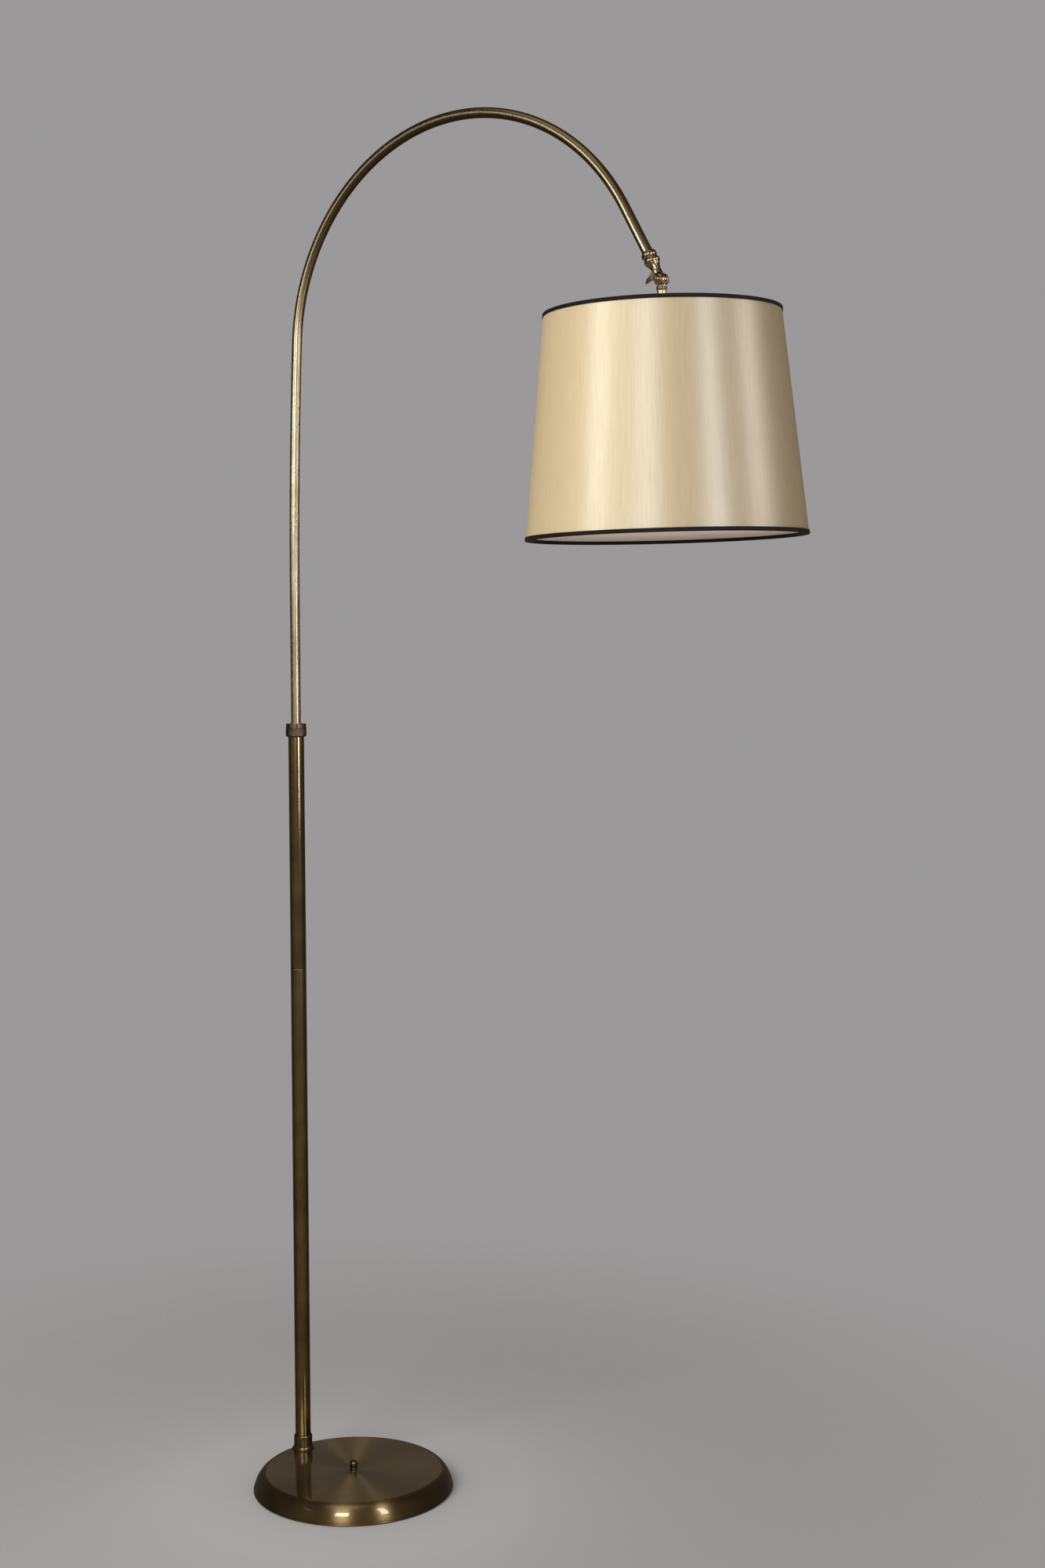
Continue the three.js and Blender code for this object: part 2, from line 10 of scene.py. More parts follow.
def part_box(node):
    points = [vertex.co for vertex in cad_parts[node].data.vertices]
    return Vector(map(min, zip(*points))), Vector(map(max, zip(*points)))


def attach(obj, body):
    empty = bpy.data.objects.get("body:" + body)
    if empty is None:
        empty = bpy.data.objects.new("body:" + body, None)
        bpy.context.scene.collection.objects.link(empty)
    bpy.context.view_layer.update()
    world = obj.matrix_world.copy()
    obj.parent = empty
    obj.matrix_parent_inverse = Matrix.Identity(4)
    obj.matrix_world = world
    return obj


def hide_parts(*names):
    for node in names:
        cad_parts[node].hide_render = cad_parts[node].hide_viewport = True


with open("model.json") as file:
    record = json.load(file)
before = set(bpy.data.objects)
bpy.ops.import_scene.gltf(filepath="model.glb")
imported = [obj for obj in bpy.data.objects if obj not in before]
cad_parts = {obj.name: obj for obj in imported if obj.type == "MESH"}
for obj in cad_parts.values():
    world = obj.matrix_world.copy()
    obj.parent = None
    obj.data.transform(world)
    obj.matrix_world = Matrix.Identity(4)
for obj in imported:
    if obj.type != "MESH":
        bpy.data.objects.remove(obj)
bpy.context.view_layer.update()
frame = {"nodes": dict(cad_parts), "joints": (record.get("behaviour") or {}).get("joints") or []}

MM = 0.001
TAU = 2 * math.pi
UP = Vector((0, 0, 1))
FINE = 96  # sides of a small turned piece
WIDE = 256  # sides of the base and the shade


# Places, from the frame

def middle(node):
    low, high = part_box(node)
    return (low + high) / 2


def low_z(node):
    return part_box(node)[0].z


def high_z(node):
    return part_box(node)[1].z


def width(node):
    low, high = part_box(node)
    return high.x - low.x


def joint_place(name):
    return Vector(next(j for j in frame["joints"] if j["name"] == name)["pos_m"])


POLE = Vector((middle("lower_tube_top").x, middle("lower_tube_top").y, 0))
KNUCKLE = joint_place("shade_tilt")
OUTER_R = width("lower_tube_top") / 2
TUBE_WALL = 1.2 * MM

# The arm's path, as the frame has it
ARM_R = 7 * MM
BOW_Z = 1261.5 * MM
BOW_R = 7715 * MM
BOW_ANGLE = 0.0479
ARC_R = 293.5 * MM
ARC_END = 2.6193
TIP_RUN = 67.6 * MM
KNUCKLE_RUN = 41.9 * MM
SOCKET = 9.7 * MM  # how far the arm tube goes into its ferrule
FERRULE_FOOT = KNUCKLE_RUN - 27.6 * MM  # the ferrule's lower end, from the knuckle's centre
NECK_R = 5.9 * MM

HEAD_TILT = -0.028
WING_LEAN = 0.66  # the wing's top leans this far towards the shade
SHADE_DROP = 39.1 * MM
SHADE_H = 284.6 * MM
SHADE_TOP_R = 151.1 * MM
SHADE_BOTTOM_R = 180.4 * MM

HEAD = Matrix.Translation(KNUCKLE) @ Matrix.Rotation(HEAD_TILT, 4, "Y")
TIP = Matrix.Translation(KNUCKLE) @ Matrix.Rotation(ARC_END - math.pi, 4, "Y")
POLE_PLACE = Matrix.Translation(POLE)


# Mesh building

def mm(*points):
    """Points given in millimetres."""
    return [tuple(value * MM for value in point) for point in points]


def arc(centre_r, centre_z, radius, start, end, steps=12):
    """Points of a round stretch of a profile."""
    angles = [start + (end - start) * i / steps for i in range(steps + 1)]
    return [(centre_r + radius * math.cos(a), centre_z + radius * math.sin(a)) for a in angles]


def soften(points, radius=0.2 * MM, closed=False, steps=4):
    """The profile with its corners rounded. A point may carry its own radius as a third number."""
    rounded = []
    last = len(points) - 1
    for i, (r, z, *own) in enumerate(points):
        here = Vector((r, z))
        if not closed and i in (0, last):
            rounded.append((r, z))
            continue
        back = Vector(points[i - 1][:2]) - here
        ahead = Vector(points[(i + 1) % len(points)][:2]) - here
        turn = math.pi - back.angle(ahead)
        if turn < 0.2:
            rounded.append((r, z))
            continue
        bend = (own[0] if own else radius) * math.tan(turn / 2)
        reach = min(bend, 0.45 * back.length, 0.45 * ahead.length)
        start = here + back.normalized() * reach
        end = here + ahead.normalized() * reach
        for k in range(steps + 1):
            t = k / steps
            spot = start * (1 - t) ** 2 + here * (2 * t * (1 - t)) + end * t**2
            rounded.append((spot.x, spot.y))
    return rounded


def bead(r, z, bulge, half):
    """A rounded bead on a profile: it stands out by the bulge, over half its height each way."""
    angles = [math.radians(a) for a in range(-72, 73, 9)]
    return [(r + bulge * math.cos(a), z + half * math.sin(a)) for a in angles]


def face_out(mesh, weld=False):
    """Turns the faces outward, after joining the points that meet where asked to."""
    shell = bmesh.new()
    shell.from_mesh(mesh)
    if weld:
        bmesh.ops.remove_doubles(shell, verts=shell.verts, dist=0.005 * MM)
        bmesh.ops.dissolve_degenerate(shell, dist=0.001 * MM, edges=shell.edges)
    bmesh.ops.recalc_face_normals(shell, faces=shell.faces)
    shell.to_mesh(mesh)
    shell.free()


def mesh_object(name, points, faces, uvs, place=None, sharp=35):
    """A closed smooth-shaded mesh, with edges sharper than the angle kept sharp."""
    mesh = bpy.data.meshes.new(name)
    mesh.from_pydata(points, [], faces)
    layer = mesh.uv_layers.new(name="Round")
    layer.data.foreach_set("uv", [x for uv in uvs for x in uv])
    face_out(mesh)
    shade_smooth(mesh, sharp)
    made = bpy.data.objects.new(name, mesh)
    bpy.context.scene.collection.objects.link(made)
    if place is not None:
        made.matrix_world = place
    return made


def shade_smooth(mesh, sharp=35):
    mesh.polygons.foreach_set("use_smooth", [True] * len(mesh.polygons))
    mesh.set_sharp_from_angle(angle=math.radians(sharp))
    mesh.update()


def lathe(name, profile, place=None, sides=FINE, sharp=35, sweep=TAU, radius_at=None):
    """A turned piece about its own Z. The profile starts and ends on the axis or closes on itself.
    The map's u is in turns and its v in metres along the profile. radius_at(turns, r, z) may
    change a point's radius."""
    on_axis = profile[0][0] < 1e-9 and profile[-1][0] < 1e-9
    rows = list(profile) if on_axis else [*profile, profile[0]]
    full = abs(sweep - TAU) < 1e-9
    columns = sides if full else sides + 1
    runs = [0.0]
    for (r0, z0), (r1, z1) in zip(rows, rows[1:]):
        runs.append(runs[-1] + math.hypot(r1 - r0, z1 - z0))
    points = []
    rings = []
    kept = rows if on_axis else rows[:-1]
    for r, z in kept:
        if r < 1e-9:
            rings.append([len(points)] * columns)
            points.append((0, 0, z))
            continue
        rings.append(list(range(len(points), len(points) + columns)))
        for i in range(columns):
            turns = i / sides * sweep / TAU
            out = radius_at(turns, r, z) if radius_at else r
            points.append((out * math.cos(turns * TAU), out * math.sin(turns * TAU), z))
    if not on_axis:
        rings.append(rings[0])
    faces = []
    uvs = []
    for j in range(len(rings) - 1):
        lower, upper = rings[j], rings[j + 1]
        for i in range(sides):
            k = (i + 1) % columns
            face = []
            corners = ((lower[i], i, j), (lower[k], i + 1, j),
                       (upper[k], i + 1, j + 1), (upper[i], i, j + 1))
            for index, column, row in corners:
                if index in face:
                    continue
                face.append(index)
                uvs.append((column / sides * sweep / TAU, runs[row]))
            faces.append(face)
    if not full:
        for column in (0, columns - 1):
            faces.append([ring[column] for ring in rings[:-1]])
            uvs.extend((0.0, runs[row]) for row in range(len(rings) - 1))
    return mesh_object(name, points, faces, uvs, place, sharp)


def tube_profile(radius, low, high, bore, edge=0.35 * MM):
    return soften([(bore, low), (radius, low), (radius, high), (bore, high)], edge, closed=True)


def sweep_tube(name, line, radius, bore=0.0, sides=48):
    """A closed tube or rod along points of a plane path. line is (point, heading) in the XZ plane."""
    runs = [0.0]
    for (a, _), (b, _) in zip(line, line[1:]):
        runs.append(runs[-1] + (b - a).length)
    walls = [radius, bore] if bore else [radius]
    points = []
    for wall in walls:
        for place, heading in line:
            side = Vector((math.cos(heading), 0, -math.sin(heading)))
            for i in range(sides):
                angle = TAU * i / sides
                spot = place + side * wall * math.cos(angle)
                points.append((spot.x, spot.y + wall * math.sin(angle), spot.z))
    faces = []
    uvs = []
    count = len(line)
    for w in range(len(walls)):
        start = w * count * sides
        for j in range(count - 1):
            for i in range(sides):
                k = (i + 1) % sides
                row, upper = start + j * sides, start + (j + 1) * sides
                faces.append((row + i, row + k, upper + k, upper + i))
                ends = ((i, j), (i + 1, j), (i + 1, j + 1), (i, j + 1))
                uvs.extend((column / sides, runs[step]) for column, step in ends)
    for j in (0, count - 1):
        outer = j * sides
        if not bore:
            faces.append([outer + i for i in range(sides)])
            uvs.extend((i / sides, runs[j]) for i in range(sides))
            continue
        inner = (count + j) * sides
        for i in range(sides):
            k = (i + 1) % sides
            faces.append((outer + i, outer + k, inner + k, inner + i))
            uvs.extend(((i / sides, runs[j]),) * 4)
    return mesh_object(name, points, faces, uvs)


def carve(target, tool, operation="DIFFERENCE", sharp=35):
    """Cuts the tool out of the target, or joins it on, and removes the tool."""
    modifier = target.modifiers.new("carve", "BOOLEAN")
    modifier.operation = operation
    modifier.object = tool
    modifier.solver = "EXACT"
    bpy.context.view_layer.update()
    depsgraph = bpy.context.evaluated_depsgraph_get()
    mesh = bpy.data.meshes.new_from_object(target.evaluated_get(depsgraph))
    target.modifiers.clear()
    target.data = mesh
    shade_smooth(mesh, sharp)
    bpy.data.objects.remove(tool)
    return target


def rod(radius, low, high, place=None, sides=48):
    return lathe("tool", [(0, low), (radius, low), (radius, high), (0, high)], place, sides)


def dress(piece, body, material, slot, *nodes):
    """Gives a piece its material and body, and hides the CAD nodes that it stands for."""
    piece.data.materials.clear()
    piece.data.materials.append(material)
    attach(piece, body)
    if nodes:
        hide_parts(*nodes)
    return piece


# Materials

class Paint:
    """A node material under construction. Values may be numbers, colours or other nodes' sockets."""

    def __init__(self, name, **settings):
        self.material = bpy.data.materials.new(name)
        self.material.use_nodes = True
        self.tree = self.material.node_tree
        self.shader = self.tree.nodes["Principled BSDF"]
        for key, value in settings.items():
            self.shader.inputs[key.replace("_", " ")].default_value = value

    def put(self, socket, value):
        if isinstance(value, bpy.types.NodeSocket):
            self.tree.links.new(value, socket)
        else:
            socket.default_value = value

    def add(self, kind, inputs=None, out=0, **settings):
        node = self.tree.nodes.new(kind)
        for key, value in settings.items():
            setattr(node, key, value)
        for key, value in (inputs or {}).items():
            self.put(node.inputs[key], value)
        return node.outputs[out]

    def math(self, operation, a, b=0.0, clamp=False):
        return self.add("ShaderNodeMath", {0: a, 1: b}, operation=operation, use_clamp=clamp)

    def plus(self, a, b, share, clamp=False):
        """The first value and a share of the second."""
        return self.math("ADD", a, self.math("MULTIPLY", b, share), clamp)

    def mix(self, factor, a, b):
        return self.add("ShaderNodeMix", {0: factor, 6: a, 7: b}, 2, data_type="RGBA")

    def spread(self, value, low, high, to_low=0.0, to_high=1.0):
        """The value taken from one range to another, and kept inside it."""
        inputs = {0: value, 1: low, 2: high, 3: to_low, 4: to_high}
        return self.add("ShaderNodeMapRange", inputs, clamp=True)

    def place(self):
        return self.add("ShaderNodeTexCoord", out=3)

    def wrap(self):
        """The round map: turns and metres."""
        return self.add("ShaderNodeUVMap", uv_map="Round")

    def stretch(self, vector, x, y, z=1.0):
        return self.add("ShaderNodeMapping", {"Vector": vector, "Scale": (x, y, z)})

    def noise(self, vector, scale, detail=4.0, roughness=0.55):
        inputs = {"Vector": vector, "Scale": scale, "Detail": detail, "Roughness": roughness}
        return self.add("ShaderNodeTexNoise", inputs)

    def set(self, **values):
        for key, value in values.items():
            self.put(self.shader.inputs[key.replace("_", " ")], value)

    def bump(self, *heights):
        """Bumps laid on each other: each is (height, distance in metres, strength)."""
        normal = None
        for height, distance, strength in heights:
            inputs = {"Height": height, "Distance": distance, "Strength": strength}
            if normal is not None:
                inputs["Normal"] = normal
            normal = self.add("ShaderNodeBump", inputs)
        self.set(Normal=normal)


def colour(r, g, b, scale=1.0):
    return (r * scale, g * scale, b * scale, 1.0)


# Worn and tarnished tones of each kind of brass piece
BRASS = (0.315, 0.236, 0.118)
TARNISH = (0.165, 0.112, 0.048)
ARM_BRASS = (0.60, 0.49, 0.31)
TURNED_BRASS = (0.27, 0.205, 0.105)
TURNED_TARNISH = (0.13, 0.088, 0.04)
KNURLED_BRASS = (0.120, 0.074, 0.042)
KNURLED_TARNISH = (0.070, 0.042, 0.025)
CAST_BRASS = (0.19, 0.135, 0.072)
CAST_TARNISH = (0.095, 0.062, 0.032)
SPUN_BRASS = (0.30, 0.207, 0.088)
SPUN_TARNISH = (0.20, 0.132, 0.050)
LACQUER_IOR = 1.55


def antique_metal(name, lines, roughness, bright=BRASS, dark=TARNISH, painted_shade_heights=None):
    """Lacquered antique brass: worn tone over brown tarnish, and the fine lines that it was
    drawn or turned with. lines is the map's stretch round and along the piece, and the last
    argument gives the heights between which the tone fades to the dark one, as painted shade."""
    paint = Paint(name, Metallic=1.0, Coat_Weight=0.7, Coat_Roughness=roughness,
                  Coat_IOR=LACQUER_IOR)
    where = paint.place()
    cloud = paint.noise(where, 34, 6, 0.62)
    broad = paint.noise(where, 7, 3)
    marks = paint.noise(paint.stretch(paint.wrap(), *lines), 1.0, 3, 0.5)
    wear_and_shade = paint.spread(paint.plus(cloud, broad, 0.7), 0.55, 1.0)
    fleck = paint.math("SUBTRACT", marks, 0.5)
    wear_and_shade = paint.plus(wear_and_shade, fleck, 0.16, True)
    # painted shade: between the given heights the tone fades to the dark one, and stays dark above them
    if painted_shade_heights:
        height = paint.add("ShaderNodeSeparateXYZ", {0: where}, 2)
        wear_and_shade = paint.math("MULTIPLY", paint.spread(wear_and_shade, 0.0, 1.0, 0.35, 1.0),
                          paint.spread(height, *painted_shade_heights, 1.0, 0.0))
    tone = paint.mix(wear_and_shade, colour(*dark), colour(*bright))
    rough = paint.plus(paint.spread(cloud, 0.3, 0.75, roughness + 0.04, roughness - 0.02), fleck, 0.05)
    paint.set(Base_Color=tone, Roughness=rough)
    return paint.material


def spun_metal():
    """The base's shell: rings left by spinning, and darker close round the knob."""
    paint = Paint("spun_bronze", Metallic=1.0, Anisotropic=0.95, Anisotropic_Rotation=0.25,
                  Coat_Weight=0.85, Coat_Roughness=0.07, Coat_IOR=LACQUER_IOR)
    where = paint.place()
    rings = paint.noise(paint.stretch(paint.wrap(), 2.0, 2600), 1.0, 4, 0.6)
    cloud = paint.noise(where, 16, 6, 0.6)
    reach = paint.add("ShaderNodeVectorMath", {0: paint.stretch(where, 1, 1, 0)}, 1, operation="LENGTH")
    centre = paint.spread(reach, 8 * MM, 26 * MM)
    spots = paint.spread(paint.noise(where, 260, 2, 0.5), 0.74, 0.78)
    tone = paint.mix(paint.spread(cloud, 0.3, 0.7), colour(*SPUN_TARNISH), colour(*SPUN_BRASS))
    tone = paint.mix(paint.math("MULTIPLY", rings, 0.3), tone, colour(*TARNISH))
    tone = paint.mix(centre, colour(*TARNISH, 0.9), tone)
    tone = paint.mix(paint.math("MULTIPLY", spots, 0.35), tone, colour(*BRASS, 1.6))
    rough = paint.plus(paint.spread(cloud, 0.3, 0.7, 0.36, 0.31), rings, 0.05)
    paint.set(Base_Color=tone, Roughness=rough)
    paint.set(Tangent=paint.add("ShaderNodeTangent", direction_type="RADIAL", axis="Z"))
    return paint.material


SATIN_DARK = (0.51, 0.41, 0.235)
SATIN_LIGHT = (0.61, 0.505, 0.31)
SATIN_GAPS = (0.35, 0.25, 0.13)
FILM_DARK = (0.82, 0.75, 0.70)
FILM_LIGHT = (0.89, 0.83, 0.78)
FILM_FIBRES = (0.60, 0.50, 0.42)
TAPE_DARK = (0.003, 0.002, 0.002)
TAPE_LIGHT = (0.012, 0.009, 0.007)


def satin_cloth():
    """The shade's gold satin: fine upright threads with slubs, crossed by finer level ones."""
    paint = Paint("shade_cloth", Anisotropic=0.7, Anisotropic_Rotation=0.25, IOR=1.6,
                  Specular_IOR_Level=0.62, Coat_Weight=0.65, Coat_Roughness=0.5, Coat_IOR=1.55)
    wrap = paint.wrap()
    streaks = paint.noise(paint.stretch(wrap, 900, 9), 1.0, 4, 0.6)
    slubs = paint.noise(paint.stretch(wrap, 340, 26), 1.0, 3, 0.5)
    grain = paint.noise(paint.stretch(wrap, 1500, 1300), 1.0, 2, 0.5)
    level = paint.noise(paint.stretch(wrap, 30, 1500), 1.0, 2, 0.5)
    upright = paint.add("ShaderNodeTexWave", {"Vector": paint.stretch(wrap, 620, 0, 0), "Scale": 1.0},
                        1, bands_direction="X")
    across = paint.add("ShaderNodeTexWave", {"Vector": paint.stretch(wrap, 0, 560, 0), "Scale": 1.0},
                       1, bands_direction="Y")
    weave = paint.math("MULTIPLY", upright, across)
    shift = paint.plus(paint.math("MULTIPLY", streaks, 0.55), slubs, 0.45)
    shift = paint.plus(shift, paint.math("SUBTRACT", grain, 0.5), 0.35)
    tone = paint.mix(paint.spread(shift, 0.3, 0.7), colour(*SATIN_DARK), colour(*SATIN_LIGHT))
    gaps = paint.math("MULTIPLY", paint.spread(weave, 0.0, 0.5, 1.0, 0.0), 0.06)
    tone = paint.mix(gaps, tone, colour(*SATIN_GAPS))
    rough = paint.plus(paint.spread(shift, 0.3, 0.7, 0.44, 0.38), grain, 0.04)
    paint.set(Base_Color=tone, Roughness=rough)
    paint.bump((streaks, 0.006 * MM, 1.0), (level, 0.006 * MM, 1.0), (weave, 0.006 * MM, 1.0))
    paint.set(Tangent=paint.add("ShaderNodeTangent", direction_type="RADIAL", axis="Z"))
    return paint.material


def lining_film():
    """The shade's lining: matt off-white film with a faint fibre mottle."""
    paint = Paint("shade_lining", IOR=1.45)
    wrap = paint.wrap()
    fibres = paint.noise(paint.stretch(wrap, 150, 60), 1.0, 5, 0.65)
    cloud = paint.noise(paint.place(), 9, 3)
    tone = paint.mix(cloud, colour(*FILM_DARK), colour(*FILM_LIGHT))
    tone = paint.mix(paint.spread(fibres, 0.35, 0.75, 0.0, 0.12), tone, colour(*FILM_FIBRES))
    paint.set(Base_Color=tone, Roughness=paint.spread(fibres, 0.3, 0.7, 0.55, 0.68))
    paint.bump((fibres, 0.06 * MM, 0.25))
    return paint.material


def bias_tape():
    """Black cotton tape cut on the bias: its threads cross the edge at 45 degrees."""
    paint = Paint("edge_tape", Sheen_Weight=0.03, Sheen_Roughness=0.35, IOR=1.45,
                  Specular_IOR_Level=0.2)
    wrap = paint.wrap()
    slant = paint.stretch(wrap, 1.05, 1.0)
    twill = paint.add("ShaderNodeTexWave", {"Vector": slant, "Scale": 700.0, "Distortion": 0.4},
                      1, bands_direction="DIAGONAL")
    fuzz = paint.noise(paint.stretch(wrap, 900, 900), 1.0, 3, 0.6)
    tone = paint.mix(paint.math("MULTIPLY", twill, fuzz), colour(*TAPE_DARK), colour(*TAPE_LIGHT))
    paint.set(Base_Color=tone, Roughness=paint.spread(fuzz, 0.3, 0.7, 0.62, 0.8))
    paint.bump((twill, 0.06 * MM, 0.4), (fuzz, 0.05 * MM, 0.3))
    return paint.material


def plain(name, dark, light, roughness, scale=60, grain=0.05 * MM, **settings):
    """A mottled surface with a fine grain in its own place."""
    paint = Paint(name, **settings)
    where = paint.place()
    cloud = paint.noise(where, scale, 5, 0.6)
    fine = paint.noise(where, scale * 25, 3, 0.6)
    paint.set(Base_Color=paint.mix(paint.spread(cloud, 0.3, 0.7), (*dark, 1), (*light, 1)),
              Roughness=paint.spread(fine, 0.3, 0.7, roughness - 0.05, roughness + 0.08))
    paint.bump((fine, grain, 0.4))
    return paint.material


def frosted_glass():
    paint = Paint("bulb_glass", Transmission_Weight=0.55, IOR=1.5, Subsurface_Weight=0.0)
    fine = paint.noise(paint.place(), 900, 3, 0.6)
    paint.set(Base_Color=paint.mix(fine, (0.86, 0.85, 0.81, 1), (0.93, 0.92, 0.89, 1)),
              Roughness=paint.spread(fine, 0.3, 0.7, 0.32, 0.42))
    return paint.material


DRAWN = (44, 7)  # lines along a tube: many round it, few along it
TURNED = (1.5, 2400)  # lines round a turned piece
CAST = (60, 600)  # the file marks of a cast piece
ARM_SHADE_HEIGHTS = (1.4, 1.8)  # painted shade: the arm's tone fades to its dark one between these heights, darkening the arc
tube_metal = antique_metal("tube_bronze", DRAWN, 0.16)
arm_metal = antique_metal("arm_bronze", DRAWN, 0.27, ARM_BRASS, painted_shade_heights=ARM_SHADE_HEIGHTS)
turned_metal = antique_metal("turned_bronze", TURNED, 0.24, TURNED_BRASS, TURNED_TARNISH)
knurled_metal = antique_metal("knurled_bronze", TURNED, 0.34, KNURLED_BRASS, KNURLED_TARNISH)
cast_metal = antique_metal("cast_bronze", CAST, 0.20, CAST_BRASS, CAST_TARNISH)
shell_metal = spun_metal()
cloth = satin_cloth()
lining = lining_film()
tape = bias_tape()
iron = plain("cast_iron", (0.02, 0.02, 0.022), (0.07, 0.068, 0.066), 0.72, 90, 0.3 * MM, Metallic=0.6)
zinc = plain("zinc_steel", (0.36, 0.36, 0.35), (0.55, 0.55, 0.54), 0.32, 120, 0.02 * MM, Metallic=1.0)
felt = plain("felt", (0.008, 0.008, 0.008), (0.03, 0.03, 0.03), 0.93, 180, 0.3 * MM, Sheen_Weight=0.3)
black_plastic = plain("black_plastic", (0.012, 0.011, 0.010), (0.028, 0.026, 0.024), 0.38, 70)
fibre = plain("fibre", (0.07, 0.025, 0.014), (0.13, 0.05, 0.03), 0.75, 300)
porcelain = plain("porcelain", (0.74, 0.71, 0.64), (0.84, 0.82, 0.76), 0.16, 40, 0.02 * MM,
                  Coat_Weight=0.6)
flex_cover = plain("flex", (0.03, 0.018, 0.010), (0.06, 0.036, 0.02), 0.5, 90)
glass = frosted_glass()


# Base

BASE_R = 142.5 * MM
BASE_TOP_R = 123.5 * MM
BASE_H = 26.3 * MM
SHOULDER_POWER = 1.35
SHELL_T = 1.5 * MM
RIM_Z = 1.0 * MM
BEAD_TOP = 3.2 * MM  # the shoulder starts above the rim's bead
POLE_HOLE_R = 5.5 * MM
STUD_HOLE_R = 3 * MM
BUSH_HOLE_R = 4.1 * MM
BUSH_REACH = 133.6 * MM  # the bush's inner end, from the base's centre
BUSH_Z = 6.5 * MM


def facing_out(place):
    """Turns a piece's +Z away from the base's centre."""
    return Vector((place.x, place.y, 0)).to_track_quat("Z", "Y").to_matrix().to_4x4()


def shoulder(inset, crown, steps=36):
    """The shoulder from near the rim up to the flat top."""
    points = []
    for i in range(steps + 1):
        lean = math.pi / 2 * (1 - i / steps)
        r = BASE_TOP_R + (BASE_R - BASE_TOP_R) * math.sin(lean) - inset
        z = crown * math.cos(lean) ** SHOULDER_POWER
        if z > BEAD_TOP:
            points.append((r, z))
    return points


def base_shell():
    """Spun shell with a small rolled bead along its rim, and holes for pole, knob and inlet."""
    crown = BASE_H - SHELL_T
    rolled = [(BASE_R - SHELL_T, RIM_Z), (BASE_R - 0.3 * MM, RIM_Z), (BASE_R, RIM_Z + 0.3 * MM),
              (BASE_R, RIM_Z + 1.1 * MM), (BASE_R - 0.2 * MM, RIM_Z + 1.5 * MM),
              (BASE_R - 0.65 * MM, RIM_Z + 1.8 * MM)]
    top = [(r, BASE_H) for r in (90 * MM, 50 * MM, 20 * MM)]
    profile = [(0, crown), *reversed(shoulder(SHELL_T, crown)), *rolled,
               *shoulder(0, BASE_H), *top, (0, BASE_H)]
    shell = lathe("base_shell_spun", profile, sides=WIDE, sharp=40)
    carve(shell, rod(POLE_HOLE_R, 15 * MM, 40 * MM, POLE_PLACE))
    carve(shell, rod(STUD_HOLE_R, 15 * MM, 40 * MM))
    bush = middle("inlet_bush")
    carve(shell, rod(BUSH_HOLE_R, -12 * MM, 12 * MM, Matrix.Translation(bush) @ facing_out(bush)))
    dress(shell, "base", shell_metal, "spun_bronze", "base_shell")


def base_felt():
    reach = width("base_felt") / 2
    thick = high_z("base_felt")
    profile = soften([(0, 0), (reach, 0), (reach, thick), (0, thick)], 0.6 * MM)
    dress(lathe("base_felt_pad", profile, sides=WIDE), "base", felt, "felt", "base_felt")


def base_knob():
    """A ball on a short neck that screws down on the stud."""
    low = low_z("base_knob")
    ball_z = BASE_H + 7.3 * MM
    ball_r = 5.75 * MM
    profile = [(0, ball_z + 1 * MM), (2.8 * MM, ball_z + 1 * MM), (2.8 * MM, low)]
    profile += [(5.4 * MM, low), (5.5 * MM, low + 0.5 * MM), (4.9 * MM, low + 1.1 * MM),
                (4.75 * MM, low + 2.2 * MM), (4.8 * MM, ball_z - 3.4 * MM)]
    profile += arc(0, ball_z, ball_r, -0.52, math.pi / 2, 20)[:-1] + [(0, ball_z + ball_r)]
    knob = lathe("base_knob_ball", soften(profile), sides=64)
    dress(knob, "base", cast_metal, "bronze", "base_knob")


def inlet_bush():
    """Moulded bush in the shell's wall behind the pole."""
    bush = middle("inlet_bush")
    level = Vector((bush.x, bush.y, 0))
    start = Matrix.Translation(level * (BUSH_REACH / level.length) + UP * BUSH_Z)
    outline = mm((2.3, 0), (3.8, 0), (3.8, 9.6), (5.2, 9.6), (5.2, 10.9), (4.6, 11.3), (2.3, 11.3))
    profile = soften(outline, closed=True)
    piece = lathe("inlet_bush_moulded", profile, start @ facing_out(bush), 48)
    dress(piece, "base", black_plastic, "black_plastic", "inlet_bush")


base_shell()
base_felt()
base_knob()
inlet_bush()


# Pole

def foot_collar():
    """Turned collar at the pole's foot, flaring out in a cove onto the base."""
    low = low_z("foot_collar")
    high = high_z("foot_collar")
    bore = OUTER_R + 0.3 * MM
    cove = arc(17.4 * MM, low + 4.9 * MM, 3.9 * MM, math.pi, 1.28 * math.pi, 8)
    profile = [(bore, low), (16.1 * MM, low), (16.1 * MM, low + 0.9 * MM), *cove[::-1],
               (13.45 * MM, low + 7 * MM), (13.3 * MM, high - 3 * MM),
               (13.15 * MM, high - 1.7 * MM, 1.2 * MM), (12.1 * MM, high - 0.25 * MM, 0.4 * MM),
               (bore, high)]
    collar = lathe("foot_collar_turned", soften(profile, closed=True), POLE_PLACE)
    dress(collar, "base", turned_metal, "bronze", "foot_collar")


def pole_tubes():
    for node in ("lower_tube_foot", "lower_tube_top"):
        profile = tube_profile(OUTER_R, low_z(node), high_z(node), OUTER_R - TUBE_WALL, 0.5 * MM)
        tube = lathe(node + "_drawn", profile, POLE_PLACE, FINE)
        dress(tube, "base", tube_metal, "bronze", node)


KNURLS = 46  # diamonds round the collar
KNURL_RISE = 3.4 * MM  # a diamond's height
KNURL_DEPTH = 0.2 * MM


